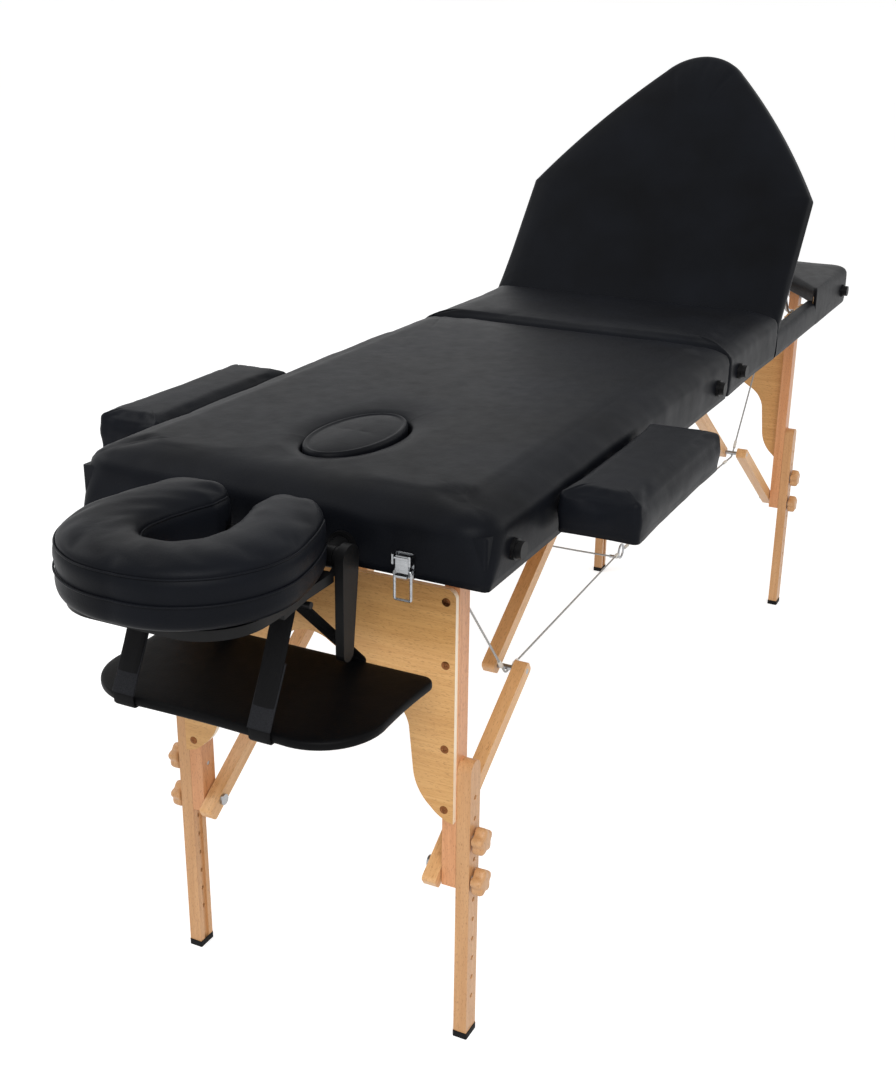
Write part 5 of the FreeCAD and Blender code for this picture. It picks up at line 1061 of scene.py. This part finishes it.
def knob_stud(x, z, side):
    """The stud that runs through both legs, with the washer under the knob."""
    stud = np.linspace((x, side * STUD_START, z), (x, side * (KNOB_FACE + STUD_IN_KNOB), z), 4)
    washer = np.linspace((x, side * (KNOB_FACE - WASHER), z), (x, side * (KNOB_FACE + 0.1), z), 3)
    return skin("knob_stud", closed_tube(stud, STUD_R, 16, (1, 0, 0)),
                closed_tube(washer, WASHER_R, 28, (1, 0, 0)), sharp=40)


def panel_screws(end):
    """Domed heads with a cross recess, four down both sides: height falls with the square of the radius, and
    is lower where a point lies within half a slot's width of either line of the cross."""
    radius, angle = np.meshgrid(np.linspace(0, SCREW_R, 16), circle(48), indexing="ij")
    u, v = radius * np.cos(angle), radius * np.sin(angle)
    slot = (np.minimum(np.abs(u), np.abs(v)) < SLOT_HALF) & (radius < SLOT_REACH)
    high = SCREW_HEAD * (1 - 0.7 * (radius / SCREW_R) ** 2) - SLOT_DEEP * slot
    face = end * PANEL_FACE
    sunk = face - end * SCREW_SUNK
    head = np.stack([face + end * high, u, v], -1)
    rear = np.stack([np.full(u.shape[1], sunk), u[-1], v[-1]], -1)
    closing = np.repeat([(sunk, 0.0, 0.0)], u.shape[1], axis=0)
    head = np.concatenate([head, [rear, closing]])
    places = [(0.0, side * SCREW_Y, z) for side, hand in HANDS for z in SCREW_Z]
    return skin("panel_screws", *[(head + place, False, True) for place in places], sharp=35)


for end, half in HALVES:
    piece(f"{half}_panel_screws", panel_screws(end), half + "_legs", bronzed)
    for side, hand in HANDS:
        for which, z in KNOB_Z.items():
            node = f"{half}_{hand}_{which}_knob"
            piece(node + "_star", star_knob(end * LEG_X, z, side), node, beech, [node])
            piece(node + "_stud", knob_stud(end * LEG_X, z, side), node, zinc)


# Light, floor and world
def seen_directly(tree):
    """One on the rays by which the eye, metal and glass see the backdrop, nothing on the rays that light."""
    rays = add(tree, "ShaderNodeLightPath").outputs
    seen = add(tree, "ShaderNodeMath", {0: rays["Is Camera Ray"], 1: rays["Is Glossy Ray"]}, operation="ADD")
    seen = add(tree, "ShaderNodeMath", {0: seen.outputs[0], 1: rays["Is Transmission Ray"]}, operation="ADD")
    return seen.outputs[0]


FLOOR_HALF, FLOOR_Z = 400.0, -0.0005
floor_mesh = bpy.data.meshes.new("floor")
floor_points = [(x * FLOOR_HALF, y * FLOOR_HALF, FLOOR_Z) for x, y in ((-1, -1), (1, -1), (1, 1), (-1, 1))]
floor_mesh.from_pydata(floor_points, [], [(0, 1, 2, 3)])
floor = bpy.data.objects.new("floor", floor_mesh)
scene.collection.objects.link(floor)
# Matt paper backdrop: pale grey, lifted to white where it is seen, so that only the object's shadow stays
floor_finish, floor_tree, floor_shader, floor_place = start_finish("pale_floor", Roughness=0.9,
                                                                   Specular_IOR_Level=0.05)
haze = add(floor_tree, "ShaderNodeTexNoise", {"Vector": floor_place["Object"], "Scale": 1.5, "Detail": 2.0})
paper = add(floor_tree, "ShaderNodeMix", {0: haze.outputs["Fac"], 6: shade("#e4e4e4"), 7: shade("#e8e8e8")},
            data_type="RGBA")
floor_tree.links.new(paper.outputs[2], floor_shader.inputs["Base Color"])
glow = add(floor_tree, "ShaderNodeMath", {0: seen_directly(floor_tree), 1: 0.55}, operation="MULTIPLY")
floor_shader.inputs["Emission Color"].default_value = shade("#ffffff")
floor_tree.links.new(glow.outputs[0], floor_shader.inputs["Emission Strength"])
floor_mesh.materials.append(floor_finish)

world = bpy.data.worlds.new("studio")
scene.world = world
world.use_nodes = True
sky_tree = world.node_tree
sky = sky_tree.nodes["Background"]
sky.inputs["Color"].default_value = shade("#ffffff")
sky_level = add(sky_tree, "ShaderNodeMapRange", {"Value": seen_directly(sky_tree), "To Min": 0.56,
                                                 "To Max": 1.0})
sky_tree.links.new(sky_level.outputs[0], sky.inputs["Strength"])


def softbox(name, at, towards, size, watts):
    """A rectangular soft light that faces a point."""
    light = bpy.data.lights.new(name, "AREA")
    light.shape = "RECTANGLE"
    light.size, light.size_y = size
    light.energy = watts
    lamp = bpy.data.objects.new(name, light)
    back_axis = np.array(at, float) - np.array(towards, float)
    back_axis /= np.linalg.norm(back_axis)
    side_axis = np.cross((0, 0, 1), back_axis)
    side_axis /= np.linalg.norm(side_axis)
    lamp.matrix_world = stand(side_axis, np.cross(back_axis, side_axis), back_axis, at)
    scene.collection.objects.link(lamp)


softbox("key", (-3.2, -1.6, 3.0), (-0.4, 0, 0.5), (2.2, 2.2), 95)
softbox("window", (3.0, -3.4, 2.6), (0.2, 0, 0.7), (2.4, 2.0), 22)
softbox("fill", (-1.0, 3.0, 3.0), (0, 0, 0.6), (2.4, 2.0), 34)

scene.view_settings.view_transform = "Standard"
